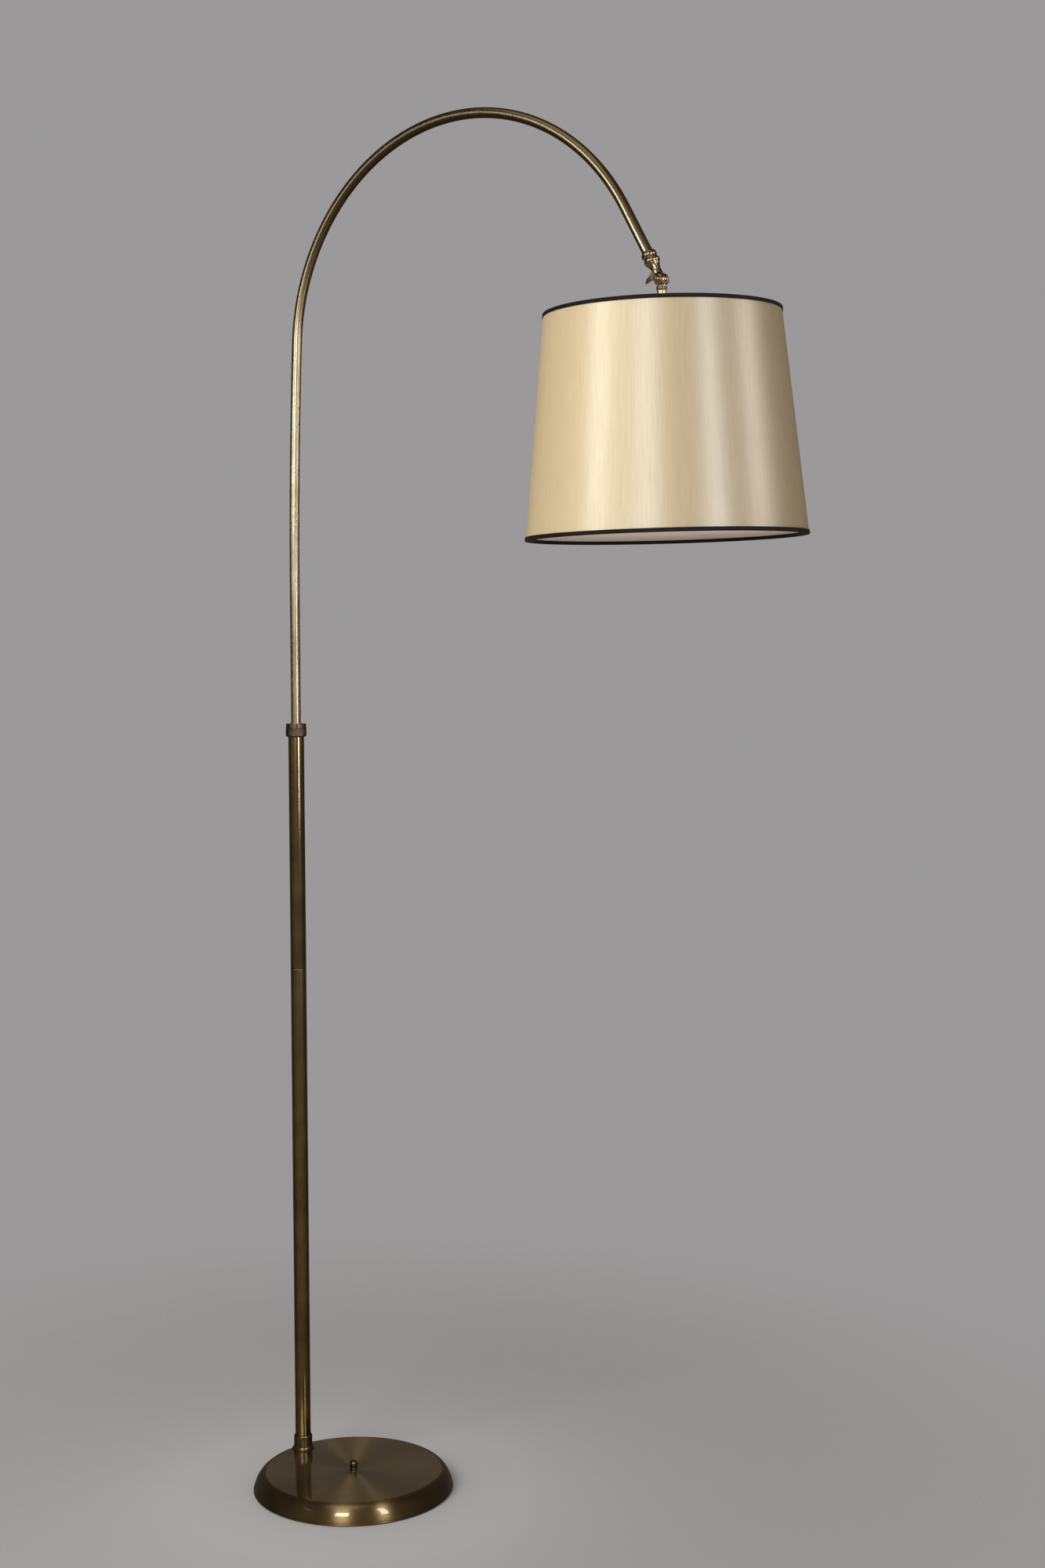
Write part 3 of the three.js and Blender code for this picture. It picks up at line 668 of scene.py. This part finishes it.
def clamp_collar():
    """Collar with a plain band above and a diamond knurl below."""
    low = low_z("clamp_collar")
    high = high_z("clamp_collar")
    reach = width("clamp_collar") / 2
    bore = OUTER_R + 0.3 * MM
    knurl_low = low + 1.9 * MM
    knurl_high = low + 12.2 * MM

    def knurl(turns, r, z):
        if not knurl_low <= z <= knurl_high or r < reach - 0.1 * MM:
            return r
        rise = (z - knurl_low) / KNURL_RISE
        left = abs(2 * ((KNURLS * turns + rise) % 1) - 1)
        right = abs(2 * ((KNURLS * turns - rise) % 1) - 1)
        edge = min(1.0, (z - knurl_low) / (0.5 * MM), (knurl_high - z) / (0.5 * MM))
        crest = min(1.0, 1.35 * min(left, right))
        return r - KNURL_DEPTH * (1 - crest) * edge

    steps = 40
    band = [(reach, knurl_low + (knurl_high - knurl_low) * i / steps) for i in range(steps + 1)]
    plain_r = reach - 0.45 * MM
    profile = soften([(bore, low), (reach - 2.1 * MM, low, 0.5 * MM),
                      (reach - 0.7 * MM, low + 0.75 * MM, 1.2 * MM),
                      (reach - 0.05 * MM, knurl_low - 0.1 * MM)])
    profile += band
    profile += soften([(reach - 0.05 * MM, knurl_high + 0.1 * MM), (plain_r, knurl_high + 0.55 * MM),
                       (plain_r, high, 0.6 * MM), (9.1 * MM, high), (9.1 * MM, low + 16.2 * MM),
                       (bore, low + 12.2 * MM)])
    collar = lathe("clamp_collar_knurled", profile, POLE_PLACE, KNURLS * 8, 50, radius_at=knurl)
    dress(collar, "clamp_collar", knurled_metal, "bronze", "clamp_collar")


def clamp_collet():
    """Tapered split ring between the collar and the arm tube."""
    low = low_z("clamp_collet")
    high = high_z("clamp_collet")
    collar_low = low_z("clamp_collar")
    bore = ARM_R + 0.3 * MM
    profile = soften([(bore, low), (10.7 * MM, low), (10.7 * MM, collar_low + 12.2 * MM),
                      (8.7 * MM, collar_low + 16.2 * MM), (8.7 * MM, high - 0.5 * MM), (8.3 * MM, high),
                      (bore, high)], closed=True)
    slit = 0.045 * TAU
    ring = lathe("clamp_collet_split", profile, POLE_PLACE @ Matrix.Rotation(slit / 2, 4, "Z"), 72,
                 sweep=TAU - slit)
    dress(ring, "collet", turned_metal, "bronze", "clamp_collet")


foot_collar()
pole_tubes()
clamp_collar()
clamp_collet()


# Arm

def arm_line(start_z, extra):
    """(point, heading) along the arm: straight up, a slight bow, the arc, and straight again."""
    line = []
    x, z, heading = POLE.x, start_z, 0.0
    legs = ((BOW_Z - start_z, 0, 0, 8), (0, BOW_R, BOW_ANGLE, 16),
            (0, ARC_R, ARC_END - BOW_ANGLE, 150), (TIP_RUN + extra, 0, 0, 4))
    for run, radius, turn, steps in legs:
        for i in range(steps + 1):
            part = i / steps
            now = heading + turn * part
            if turn:
                spot = Vector((x + radius * (math.cos(heading) - math.cos(now)), POLE.y,
                               z + radius * (math.sin(now) - math.sin(heading))))
            else:
                spot = Vector((x + run * part * math.sin(now), POLE.y, z + run * part * math.cos(now)))
            if i or not line:
                line.append((spot, now))
        x, z, heading = line[-1][0].x, line[-1][0].z, line[-1][1]
    return line


def arm_tube():
    tube = sweep_tube("arm_tube_bent", arm_line(low_z("arm_tube"), SOCKET), ARM_R, ARM_R - TUBE_WALL, 56)
    dress(tube, "arm", arm_metal, "bronze", "arm_tube")


def arm_ferrule():
    """Two rounded rings, a cup and a cone. Its +Z runs back up the arm tube."""
    neck = NECK_R
    foot = FERRULE_FOOT
    top = KNUCKLE_RUN
    socket = top - 10 * MM - 0.3 * MM
    profile = [(neck - 1.1 * MM, foot), (neck, foot, 0.5 * MM), (neck + 0.1 * MM, foot + 1.4 * MM, 1 * MM),
               (neck + 1.3 * MM, foot + 6.6 * MM, 0.4 * MM), (neck + 1.8 * MM, foot + 6.9 * MM, 0.3 * MM),
               (neck + 2.9 * MM, foot + 10.0 * MM, 2 * MM)]
    profile += bead(8.3 * MM, top - 14 * MM, 2.0 * MM, 3.4 * MM)
    profile += [(8.55 * MM, top - 9.7 * MM, 0.6 * MM)]
    profile += bead(7.4 * MM, top - 5.1 * MM, 2.65 * MM, 4.2 * MM)
    profile += [(ARM_R + 0.5 * MM, top - 0.3 * MM), (ARM_R + 0.25 * MM, top), (ARM_R + 0.25 * MM, socket),
                (neck - 1.1 * MM, socket)]
    ferrule = lathe("arm_ferrule_turned", soften(profile, closed=True), TIP)
    dress(ferrule, "arm", turned_metal, "bronze", "arm_ferrule")


arm_tube()
arm_ferrule()


# Knuckle

DOME_R = 8.8 * MM
DOME_SHIFT = 1.6 * MM
JOINT_FACE = 0.6 * MM
SCREW_BORE_R = 3.2 * MM
LEAD_BORE_R = 2.6 * MM
LEVEL = Matrix.Rotation(-math.pi / 2, 4, "X")  # a piece's own +Z turns to +Y


def knuckle_half(name, side, place, neck):
    """A dome on one side of the joint's plane with its neck, cleared for the other half's dome."""
    face = JOINT_FACE
    edge_r = math.sqrt(DOME_R**2 - (DOME_SHIFT - face) ** 2)
    dome = soften([(0, face), (edge_r - 0.9 * MM, face), (edge_r, face + 0.35 * MM, 0.3 * MM)], 0.3 * MM)
    start = math.asin((face + 0.9 * MM - DOME_SHIFT) / DOME_R)
    dome += arc(0, DOME_SHIFT, DOME_R, start, math.pi / 2, 26)[:-1] + [(0, DOME_SHIFT + DOME_R)]
    turn = LEVEL if side > 0 else Matrix.Rotation(math.pi / 2, 4, "X")
    ball = lathe(name, dome, place @ turn, 96)
    stem = lathe("stem", neck, place, 72)
    sweep = rod(DOME_R + 0.7 * MM, -40 * MM, face, place @ turn, 96)
    carve(stem, sweep)
    carve(ball, stem, "UNION", 30)
    return carve(ball, rod(SCREW_BORE_R, -30 * MM, 30 * MM, place @ turn), sharp=30)


def arm_half():
    foot = FERRULE_FOOT - 0.3 * MM
    stub = NECK_R - 1.4 * MM
    top = KNUCKLE_RUN - 13 * MM
    neck = soften([(0, 3.5 * MM), (NECK_R, 3.5 * MM), (NECK_R, foot), (stub, foot), (stub, top), (0, top)])
    half = knuckle_half("knuckle_arm_half_turned", 1, TIP, neck)
    carve(half, rod(LEAD_BORE_R, DOME_R + 1 * MM, 60 * MM, TIP))
    dress(half, "arm", turned_metal, "bronze", "knuckle_arm_half")


def shade_half():
    collar_r = NECK_R + 1.4 * MM
    neck = soften([(0, CAP_TOP - 16 * MM), (4.7 * MM, CAP_TOP - 16 * MM), (4.7 * MM, CAP_TOP + 0.3 * MM),
                   (collar_r, CAP_TOP + 0.3 * MM, 0.4 * MM), (collar_r, CAP_TOP + 2.6 * MM, 0.6 * MM),
                   (NECK_R, CAP_TOP + 4.2 * MM, 0.8 * MM), (NECK_R, -13.5 * MM, 2 * MM),
                   (NECK_R + 1.3 * MM, -10 * MM, 1 * MM), (NECK_R, -8 * MM), (NECK_R, -3.5 * MM),
                   (0, -3.5 * MM)])
    half = knuckle_half("knuckle_shade_half_turned", -1, HEAD, neck)
    carve(half, rod(LEAD_BORE_R, -60 * MM, -DOME_R - 3 * MM, HEAD))
    dress(half, "head", turned_metal, "bronze", "knuckle_shade_half")


def knuckle_washer():
    profile = tube_profile(6.5 * MM, -0.3 * MM, 0.3 * MM, 3.3 * MM, 0.1 * MM)
    washer = lathe("knuckle_washer_pressed", profile, Matrix.Translation(KNUCKLE) @ LEVEL)
    dress(washer, "arm", fibre, "fibre", "knuckle_washer")


WING_SPAN = 10.2 * MM  # from the screw's axis to each tip
WING_NEAR = 13.5 * MM  # from the knuckle's centre to the wing's root, its tips and its far edge
WING_TIPS = 26.8 * MM
WING_FAR = 31.1 * MM


def wing_blade(place):
    """A crescent blade in the screw's own plane: thin, with a thicker rounded edge."""
    across, along = 72, 20
    thick = 1.15 * MM
    points = []
    for face in (1, -1):
        for i in range(across + 1):
            side = 2 * i / across - 1
            reach = math.sin(side * math.pi / 2)
            near = WING_NEAR + (WING_TIPS - WING_NEAR) * abs(reach) ** 0.8
            far = WING_FAR - (WING_FAR - WING_TIPS) * abs(reach) ** 2.6
            for j in range(along + 1):
                part = 0.5 - 0.5 * math.cos(math.pi * j / along)
                inside = min(1 - abs(side), 2 * min(part, 1 - part))
                rim = min(1.0, inside / 0.16)
                height = thick * math.sqrt(1 - (1 - rim) ** 2) * (0.62 + 0.38 * max(0.0, 1 - inside / 0.45))
                points.append((reach * WING_SPAN, -(near + (far - near) * part), face * height))
    row = along + 1
    half = len(points) // 2
    faces = []
    for start in (0, half):
        for i in range(across):
            for j in range(along):
                corner = start + i * row + j
                faces.append((corner, corner + 1, corner + row + 1, corner + row))
    blade = mesh_object("wing_blade", points, faces, [(0.0, 0.0)] * (4 * len(faces)), place, 60)
    face_out(blade.data, weld=True)
    return blade


def wing_screw():
    """Shank, round-ended hub and one crescent wing, towards -Y."""
    place = Matrix.Translation(KNUCKLE) @ Matrix.Rotation(WING_LEAN - math.pi / 2, 4, "Y")
    hub_y = 10.9 * MM
    profile = soften([(0, -8.5 * MM), (2.5 * MM, -8.5 * MM), (2.8 * MM, -8.1 * MM), (2.8 * MM, hub_y),
                      (4.5 * MM, hub_y, 0.3 * MM), (4.6 * MM, hub_y + 1.6 * MM, 0.8 * MM)])[:-1]
    profile += arc(0, hub_y + 1.7 * MM, 4.6 * MM, 0.05, math.pi / 2, 18)[:-1] + [(0, hub_y + 6.3 * MM)]
    toward = Matrix.Rotation(math.pi / 2, 4, "X")
    screw = lathe("wing_screw_cast", profile, place @ toward, 80)
    carve(screw, wing_blade(place), "UNION", 40)
    dress(screw, "wing_screw", cast_metal, "bronze", "wing_screw")


# Lampholder, in the head's own frame

CAP_TOP = -30 * MM
CAP_LOW = -56 * MM
SHELL_R = 19.2 * MM
SHELL_LOW = -98 * MM
HUB_LOW = CAP_LOW - 2.8 * MM


def holder_cap():
    outer = arc(7.5 * MM, CAP_LOW + 9 * MM, 13.7 * MM, 0.06, 1.38, 20)
    inner = arc(7.5 * MM, CAP_LOW + 9 * MM, 12.5 * MM, 1.3, 0.1, 12)
    profile = [(20.2 * MM, CAP_LOW), (21.6 * MM, CAP_LOW, 0.4 * MM),
               (21.6 * MM, CAP_LOW + 2.2 * MM, 0.5 * MM), (21.1 * MM, CAP_LOW + 2.8 * MM),
               (21.2 * MM, CAP_LOW + 8 * MM), *outer, (9.4 * MM, CAP_TOP, 0.8 * MM),
               (5 * MM, CAP_TOP), (5 * MM, CAP_TOP - 9 * MM), *inner, (20.2 * MM, CAP_LOW + 8 * MM)]
    cap = lathe("holder_cap_spun", soften(profile, closed=True), HEAD)
    dress(cap, "head", turned_metal, "bronze", "holder_cap")


def holder_shell():
    """Moulded shell with the coarse outside thread that the shade ring runs on."""
    top = CAP_LOW - 0.5 * MM
    thread_low = SHELL_LOW + 6 * MM
    thread_high = HUB_LOW - 8.5 * MM
    pitch = 2.6 * MM

    def thread(turns, r, z):
        if r < SHELL_R - 0.1 * MM or not thread_low < z < thread_high:
            return r
        wave = 0.5 - 0.5 * math.cos(TAU * (z / pitch - turns))
        edge = min(1.0, (z - thread_low) / (2 * MM), (thread_high - z) / (2 * MM))
        return r - 0.75 * MM * (1 - wave) * edge

    steps = 110
    tall = top - SHELL_LOW - 1.6 * MM
    bore = SHELL_R - 1.6 * MM
    wall = [(SHELL_R, SHELL_LOW + 0.8 * MM + tall * i / steps) for i in range(steps + 1)]
    profile = [(bore, SHELL_LOW), (SHELL_R - 0.5 * MM, SHELL_LOW),
               (SHELL_R - 0.1 * MM, SHELL_LOW + 0.3 * MM), *wall, (SHELL_R - 0.4 * MM, top),
               (5.3 * MM, top), (5.3 * MM, top - 1.4 * MM), (bore, top - 1.4 * MM)]
    shell = lathe("holder_shell_moulded", profile, HEAD, 96, radius_at=thread)
    dress(shell, "head", black_plastic, "black_plastic", "holder_shell")


def shade_ring():
    """Ring nut with grip ribs and a flange under the fitter."""
    high = HUB_LOW - 0.3 * MM
    low = high - 7 * MM
    ribs = 36

    def rib(turns, r, z):
        if not 25 * MM < r < 26.5 * MM:
            return r
        return r - 0.5 * MM * (0.5 - 0.5 * math.cos(TAU * ribs * turns))

    bore = SHELL_R + 0.3 * MM
    profile = soften([(bore, low), (25 * MM, low, 0.5 * MM), (26 * MM, low + 1 * MM, 0.4 * MM),
                      (26 * MM, high - 2.6 * MM), (28.5 * MM, high - 2 * MM, 0.4 * MM),
                      (28.5 * MM, high, 0.4 * MM), (bore, high)], closed=True)
    ring = lathe("shade_ring_moulded", profile, HEAD, ribs * 6, radius_at=rib)
    dress(ring, "head", black_plastic, "black_plastic", "shade_ring")


def bulb():
    thread_r = 13.2 * MM
    cap_low = -101 * MM
    cap_high = -79.5 * MM

    def thread(turns, r, z):
        if r < thread_r - 0.1 * MM or not cap_low + 2 * MM < z < cap_high - 1 * MM:
            return r
        return r - 0.55 * MM * (0.5 - 0.5 * math.cos(TAU * (z / (3.6 * MM) - turns)))

    wall = [(thread_r, cap_low + (cap_high - cap_low) * i / 60) for i in range(61)]
    profile = [*mm((0, -78), (9, -79), (11.6, -80.5)), (11.6 * MM, cap_low), *wall,
               *mm((10, -77.5), (4.4, -77), (4.4, -75.8), (0, -75.8))]
    cap = lathe("bulb_cap_threaded", profile, HEAD, 72, radius_at=thread)
    dress(cap, "head", zinc, "steel", "bulb_cap")
    outline = arc(0, -152 * MM, 30 * MM, -math.pi / 2, 0.42, 40)[1:]
    neck = mm((25.2, -134.5), (22.2, -127.5), (19.2, -120.5), (16.9, -113.5), (15.7, -107), (15.4, -101.6))
    outer = outline + neck
    inner = [(r - 0.9 * MM, z + (0.9 * MM if z < -152 * MM else 0)) for r, z in outer]
    profile = [(0, -182 * MM), *outer, *[p for p in reversed(inner) if p[0] > 1 * MM], (0, -181.1 * MM)]
    envelope = lathe("bulb_glass_blown", profile, HEAD, 96)
    dress(envelope, "head", glass, "bulb_glass", "bulb_glass")


arm_half()
shade_half()
knuckle_washer()
wing_screw()
holder_cap()
holder_shell()
shade_ring()
bulb()


# Shade, in the head's own frame

TAPE_T = 0.8 * MM
CLOTH_T = 0.6 * MM
FILM_T = 0.6 * MM
GAP = 0.3 * MM
WIRE_R = 1.4 * MM
WIRE_INSET = 3.6 * MM  # from the cloth's outside to the wires' centre line
EDGE_TOP = -SHADE_DROP - TAPE_T - GAP
EDGE_LOW = -SHADE_DROP - SHADE_H + TAPE_T + GAP
SEAM_TURN = 0.31  # where cloth and lining lap, at the back
SEAM_WIDTH = 0.012  # of a turn


def cone_r(z):
    """The cloth's outer radius at a height."""
    part = (-SHADE_DROP - z) / SHADE_H
    return SHADE_TOP_R + (SHADE_BOTTOM_R - SHADE_TOP_R) * part - TAPE_T - GAP


def cone_sheet(name, inset, thickness, outward, lap):
    """A rolled sheet with a lap of a few millimetres where its ends are glued."""
    rows = 48
    heights = [EDGE_LOW + (EDGE_TOP - EDGE_LOW) * i / rows for i in range(rows + 1)]
    outer = [(cone_r(z) - inset, z) for z in heights]
    inner = [(cone_r(z) - inset - thickness, z) for z in reversed(heights)]

    def lapped(turns, r, z):
        away = (turns - SEAM_TURN) % 1
        if away > SEAM_WIDTH:
            return r
        return r + outward * lap * min(1.0, away / (0.1 * SEAM_WIDTH))

    return lathe(name, outer + inner, HEAD, 4 * WIDE, 60, radius_at=lapped)


def edge_tape(name, edge, outward, node):
    """Tape folded over an edge: down the outside, over the edges, and in round the wire."""
    leg = 5.0 * MM
    inner_leg = 4.4 * MM
    rim = edge + outward * GAP
    crown = rim + outward * TAPE_T
    leg_end = crown - outward * leg
    inner_end = crown - outward * inner_leg
    bundle = WIRE_INSET + WIRE_R + 0.25 * MM  # cloth, film and wire inside the fold
    profile = [(cone_r(leg_end) + GAP, leg_end), (cone_r(leg_end) + GAP + TAPE_T, leg_end, 0.25 * MM),
               (cone_r(crown) + GAP + TAPE_T, crown, 1.4 * MM),
               (cone_r(crown) - bundle - TAPE_T, crown, 1.6 * MM),
               (cone_r(inner_end) - bundle - TAPE_T, inner_end, 0.25 * MM),
               (cone_r(inner_end) - bundle, inner_end),
               (cone_r(rim) - bundle, rim, 1.0 * MM), (cone_r(rim) + GAP, rim, 0.6 * MM)]
    folded = soften(profile, 0.2 * MM, closed=True, steps=6)

    def pull(turns, r, z):
        """Slight unevenness of the fold along the edge."""
        return r + 0.07 * MM * math.sin(TAU * 17 * turns) * math.sin(TAU * 61 * turns)

    ring = lathe(name, folded, HEAD, 2 * WIDE, 50, radius_at=pull)
    dress(ring, "head", tape, "edge_tape", node)


def shade():
    satin = cone_sheet("shade_fabric_satin", 0, CLOTH_T, 1, 0.28 * MM)
    dress(satin, "head", cloth, "shade_cloth", "shade_fabric")
    film = cone_sheet("shade_liner_film", CLOTH_T + 0.1 * MM, FILM_T, -1, 0.35 * MM)
    dress(film, "head", lining, "shade_lining", "shade_liner")
    edge_tape("trim_top_tape", EDGE_TOP, 1, "trim_top")
    edge_tape("trim_bottom_tape", EDGE_LOW, -1, "trim_bottom")


def wire_ring(name, z):
    centre = cone_r(z) - WIRE_INSET
    return lathe(name, arc(centre, z, WIRE_R, 0, TAU, 14)[:-1], HEAD, WIDE)


def shade_frame():
    """The fitter's hub and three arms welded to the top wire, and the bottom wire."""
    wire_z = EDGE_TOP - WIRE_R - 0.4 * MM
    hub_r = 24 * MM
    hub_profile = tube_profile(hub_r, HUB_LOW, CAP_LOW - GAP, SHELL_R + 0.4 * MM, 0.5 * MM)
    hub = lathe("shade_frame_welded", hub_profile, HEAD)
    reach = cone_r(wire_z) - WIRE_INSET
    drop = wire_z - (HUB_LOW + 1.25 * MM)
    start_r = hub_r - 1.5 * MM
    for i in range(3):
        bearing = Matrix.Rotation(math.pi / 2 + i * TAU / 3, 4, "Z")
        tilt = Matrix.Rotation(math.pi / 2 - math.atan2(drop, reach - start_r), 4, "Y")
        place = HEAD @ bearing @ Matrix.Translation((start_r, 0, HUB_LOW + 1.25 * MM)) @ tilt
        carve(hub, rod(WIRE_R, 0, math.hypot(drop, reach - start_r), place, 24), "UNION")
    carve(hub, wire_ring("wire", wire_z), "UNION")
    dress(hub, "head", zinc, "steel", "shade_spider")
    bottom = wire_ring("shade_wire_bottom_ring", EDGE_LOW + WIRE_R + 0.4 * MM)
    dress(bottom, "head", zinc, "steel", "shade_wire_bottom")


shade_frame()
shade()


# What stays as the frame has it, inside the lamp

CARRIED = {
    iron: ("base_weight",),
    zinc: ("base_stud", "pole_nipple", "nipple_nut", "nipple_washer", "tube_coupler", "holder_contact"),
    turned_metal: ("foot_plug", "top_bush", "arm_guide", "holder_thread"),
    porcelain: ("holder_insert",),
    flex_cover: ("pole_lead", "arm_lead", "stem_lead"),
}
for material, nodes in CARRIED.items():
    for node in nodes:
        carried = frame["nodes"][node]
        carried.data.materials.clear()
        carried.data.materials.append(material)


# Stage, light and camera

CAMERA_TURN = math.radians(34.97)
CAMERA_BACK = 3.1603
CAMERA_ASIDE = 0.2450
CAMERA_HEIGHT = 1.2619
CAMERA_PITCH = 0.0793
CAMERA_ROLL = 0.0021
CAMERA_LENS = 52.0
CAMERA_SHIFT = -0.00025

BACKDROP = (0.328, 0.319, 0.323)  # plain grey
FLOOR_DARK = (0.475, 0.49, 0.515)
FLOOR_LIGHT = (0.50, 0.515, 0.54)
FLOOR_R = 1.5
FLOOR_FADE = (0.25, 1.3)  # the floor turns into the backdrop between these radii
FILL = (0.45, 0.40, 0.36)
STUDIO_BEHIND = (0.055, 0.048, 0.038)
STUDIO_FRONT = (0.20, 0.165, 0.112)

RIGHT = Vector((math.cos(CAMERA_TURN), math.sin(CAMERA_TURN), 0))
BACK = Vector((math.sin(CAMERA_TURN), -math.cos(CAMERA_TURN), 0))


def grey_world():
    """Plain grey to the eye, warm fill on matt pieces, and a studio in the metal that is dark
    behind the lamp and lighter in front of it."""
    world = bpy.data.worlds.new("studio")
    bpy.context.scene.world = world
    world.use_nodes = True
    tree = world.node_tree
    make, link = tree.nodes.new, tree.links.new
    path = make("ShaderNodeLightPath")
    shown = tree.nodes["Background"].outputs[0]
    tree.nodes["Background"].inputs["Color"].default_value = (*FILL, 1)
    facing = make("ShaderNodeVectorMath")
    facing.operation = "DOT_PRODUCT"
    facing.inputs[1].default_value = BACK
    link(make("ShaderNodeTexCoord").outputs["Generated"], facing.inputs[0])
    front = make("ShaderNodeMapRange")
    front.inputs["From Min"].default_value = -0.2
    link(facing.outputs["Value"], front.inputs[0])
    studio = make("ShaderNodeMix")
    studio.data_type = "RGBA"
    studio.inputs[6].default_value = (*STUDIO_BEHIND, 1)
    studio.inputs[7].default_value = (*STUDIO_FRONT, 1)
    link(front.outputs[0], studio.inputs[0])
    for ray in ("Is Glossy Ray", "Is Camera Ray"):
        seen = make("ShaderNodeBackground")
        if ray == "Is Camera Ray":
            seen.inputs["Color"].default_value = (*BACKDROP, 1)
        else:
            link(studio.outputs[2], seen.inputs["Color"])
        choose = make("ShaderNodeMixShader")
        link(path.outputs[ray], choose.inputs[0])
        link(shown, choose.inputs[1])
        link(seen.outputs[0], choose.inputs[2])
        shown = choose.outputs[0]
    link(shown, tree.nodes["World Output"].inputs["Surface"])


def pale_floor():
    """A pale floor that fades into the backdrop away from the lamp, so that no edge shows."""
    paint = Paint("floor", Roughness=0.9)
    where = paint.place()
    reach = paint.add("ShaderNodeVectorMath", {0: where}, 1, operation="LENGTH")
    fine = paint.noise(where, 60, 4, 0.6)
    paint.set(Base_Color=paint.mix(fine, colour(*FLOOR_DARK), colour(*FLOOR_LIGHT)),
              Alpha=paint.spread(reach, *FLOOR_FADE, 1.0, 0.0))
    floor = lathe("floor", [(0, -2 * MM), (FLOOR_R, -2 * MM), (FLOOR_R, 0), (0, 0)], sides=96)
    floor.data.materials.append(paint.material)
    floor.location.z = -0.5 * MM
    floor.visible_glossy = False


def camera():
    forward = -BACK * math.cos(CAMERA_PITCH) - UP * math.sin(CAMERA_PITCH)
    up = RIGHT.cross(forward)
    data = bpy.data.cameras.new("camera")
    data.lens = CAMERA_LENS
    data.sensor_width = 36
    eye = bpy.data.objects.new("camera", data)
    bpy.context.scene.collection.objects.link(eye)
    data.shift_x = CAMERA_SHIFT
    turn = Matrix((RIGHT, up, -forward)).transposed().to_4x4() @ Matrix.Rotation(-CAMERA_ROLL, 4, "Z")
    spot = BACK * CAMERA_BACK + RIGHT * CAMERA_ASIDE + UP * CAMERA_HEIGHT
    eye.matrix_world = Matrix.Translation(spot) @ turn
    bpy.context.scene.camera = eye


SHADE_CENTRE = HEAD @ Vector((0, 0, -SHADE_DROP - SHADE_H / 2))
BASE_CENTRE = Vector((0, 0, 0))


def softbox(name, around, bearing, distance, height, size, radiance, tone=(0.92, 0.97, 1),
            spread=180, lights_matt=False, level=False):
    """A soft rectangular light. Its bearing is from the camera's side of a centre, to the right,
    and spread is how far its grid lets it fan out, in degrees. It shows in gloss, or lights
    matt surfaces. It faces the centre, or faces it level."""
    across, tall = size
    turn = math.radians(bearing)
    beside = Vector((around.x, around.y, height))
    spot = beside + (BACK * math.cos(turn) + RIGHT * math.sin(turn)) * distance
    data = bpy.data.lights.new(name, "AREA")
    data.shape = "RECTANGLE"
    data.size = across
    data.size_y = tall
    data.energy = radiance * math.pi * across * tall
    data.color = tone
    data.spread = math.radians(spread)
    lamp = bpy.data.objects.new(name, data)
    bpy.context.scene.collection.objects.link(lamp)
    lamp.visible_glossy = not lights_matt
    lamp.visible_diffuse = lights_matt
    lamp.location = spot
    lamp.rotation_mode = "QUATERNION"
    toward = (beside if level else around) - spot
    lamp.rotation_quaternion = toward.to_track_quat("-Z", "Y")


def lights():
    softbox("strip_right", BASE_CENTRE, 41, 2.2, 1.72, (0.34, 1.6), 11, level=True)
    softbox("box_left", BASE_CENTRE, -10, 3.2, 2.2, (0.9, 1.1), 16, level=True)
    softbox("panel_left", SHADE_CENTRE, -62, 2.4, 2.05, (0.72, 1.1), 1.1, (0.82, 0.94, 1), 50)
    softbox("panel_right", SHADE_CENTRE, 79, 2.4, 2.05, (0.9, 0.9), 0.5, (1, 0.93, 0.92), 34)
    softbox("far_wall", BASE_CENTRE, 180, 6, 2.5, (3, 1.2), 0.16, (1, 0.83, 0.58))
    softbox("top", BASE_CENTRE, -20, 0.9, 3.4, (1.6, 1.6), 0.8, (1, 0.90, 0.78))
    softbox("key", SHADE_CENTRE, -49, 2.6, 2.2, (1.8, 1.8), 6.3, (1, 0.97, 0.92), lights_matt=True)
    softbox("bounce", SHADE_CENTRE, 0, 0, 0.2, (1.2, 1.2), 3.0, (1, 0.97, 0.95), lights_matt=True)


grey_world()
pale_floor()
camera()
lights()
bpy.context.scene.view_settings.view_transform = "Standard"
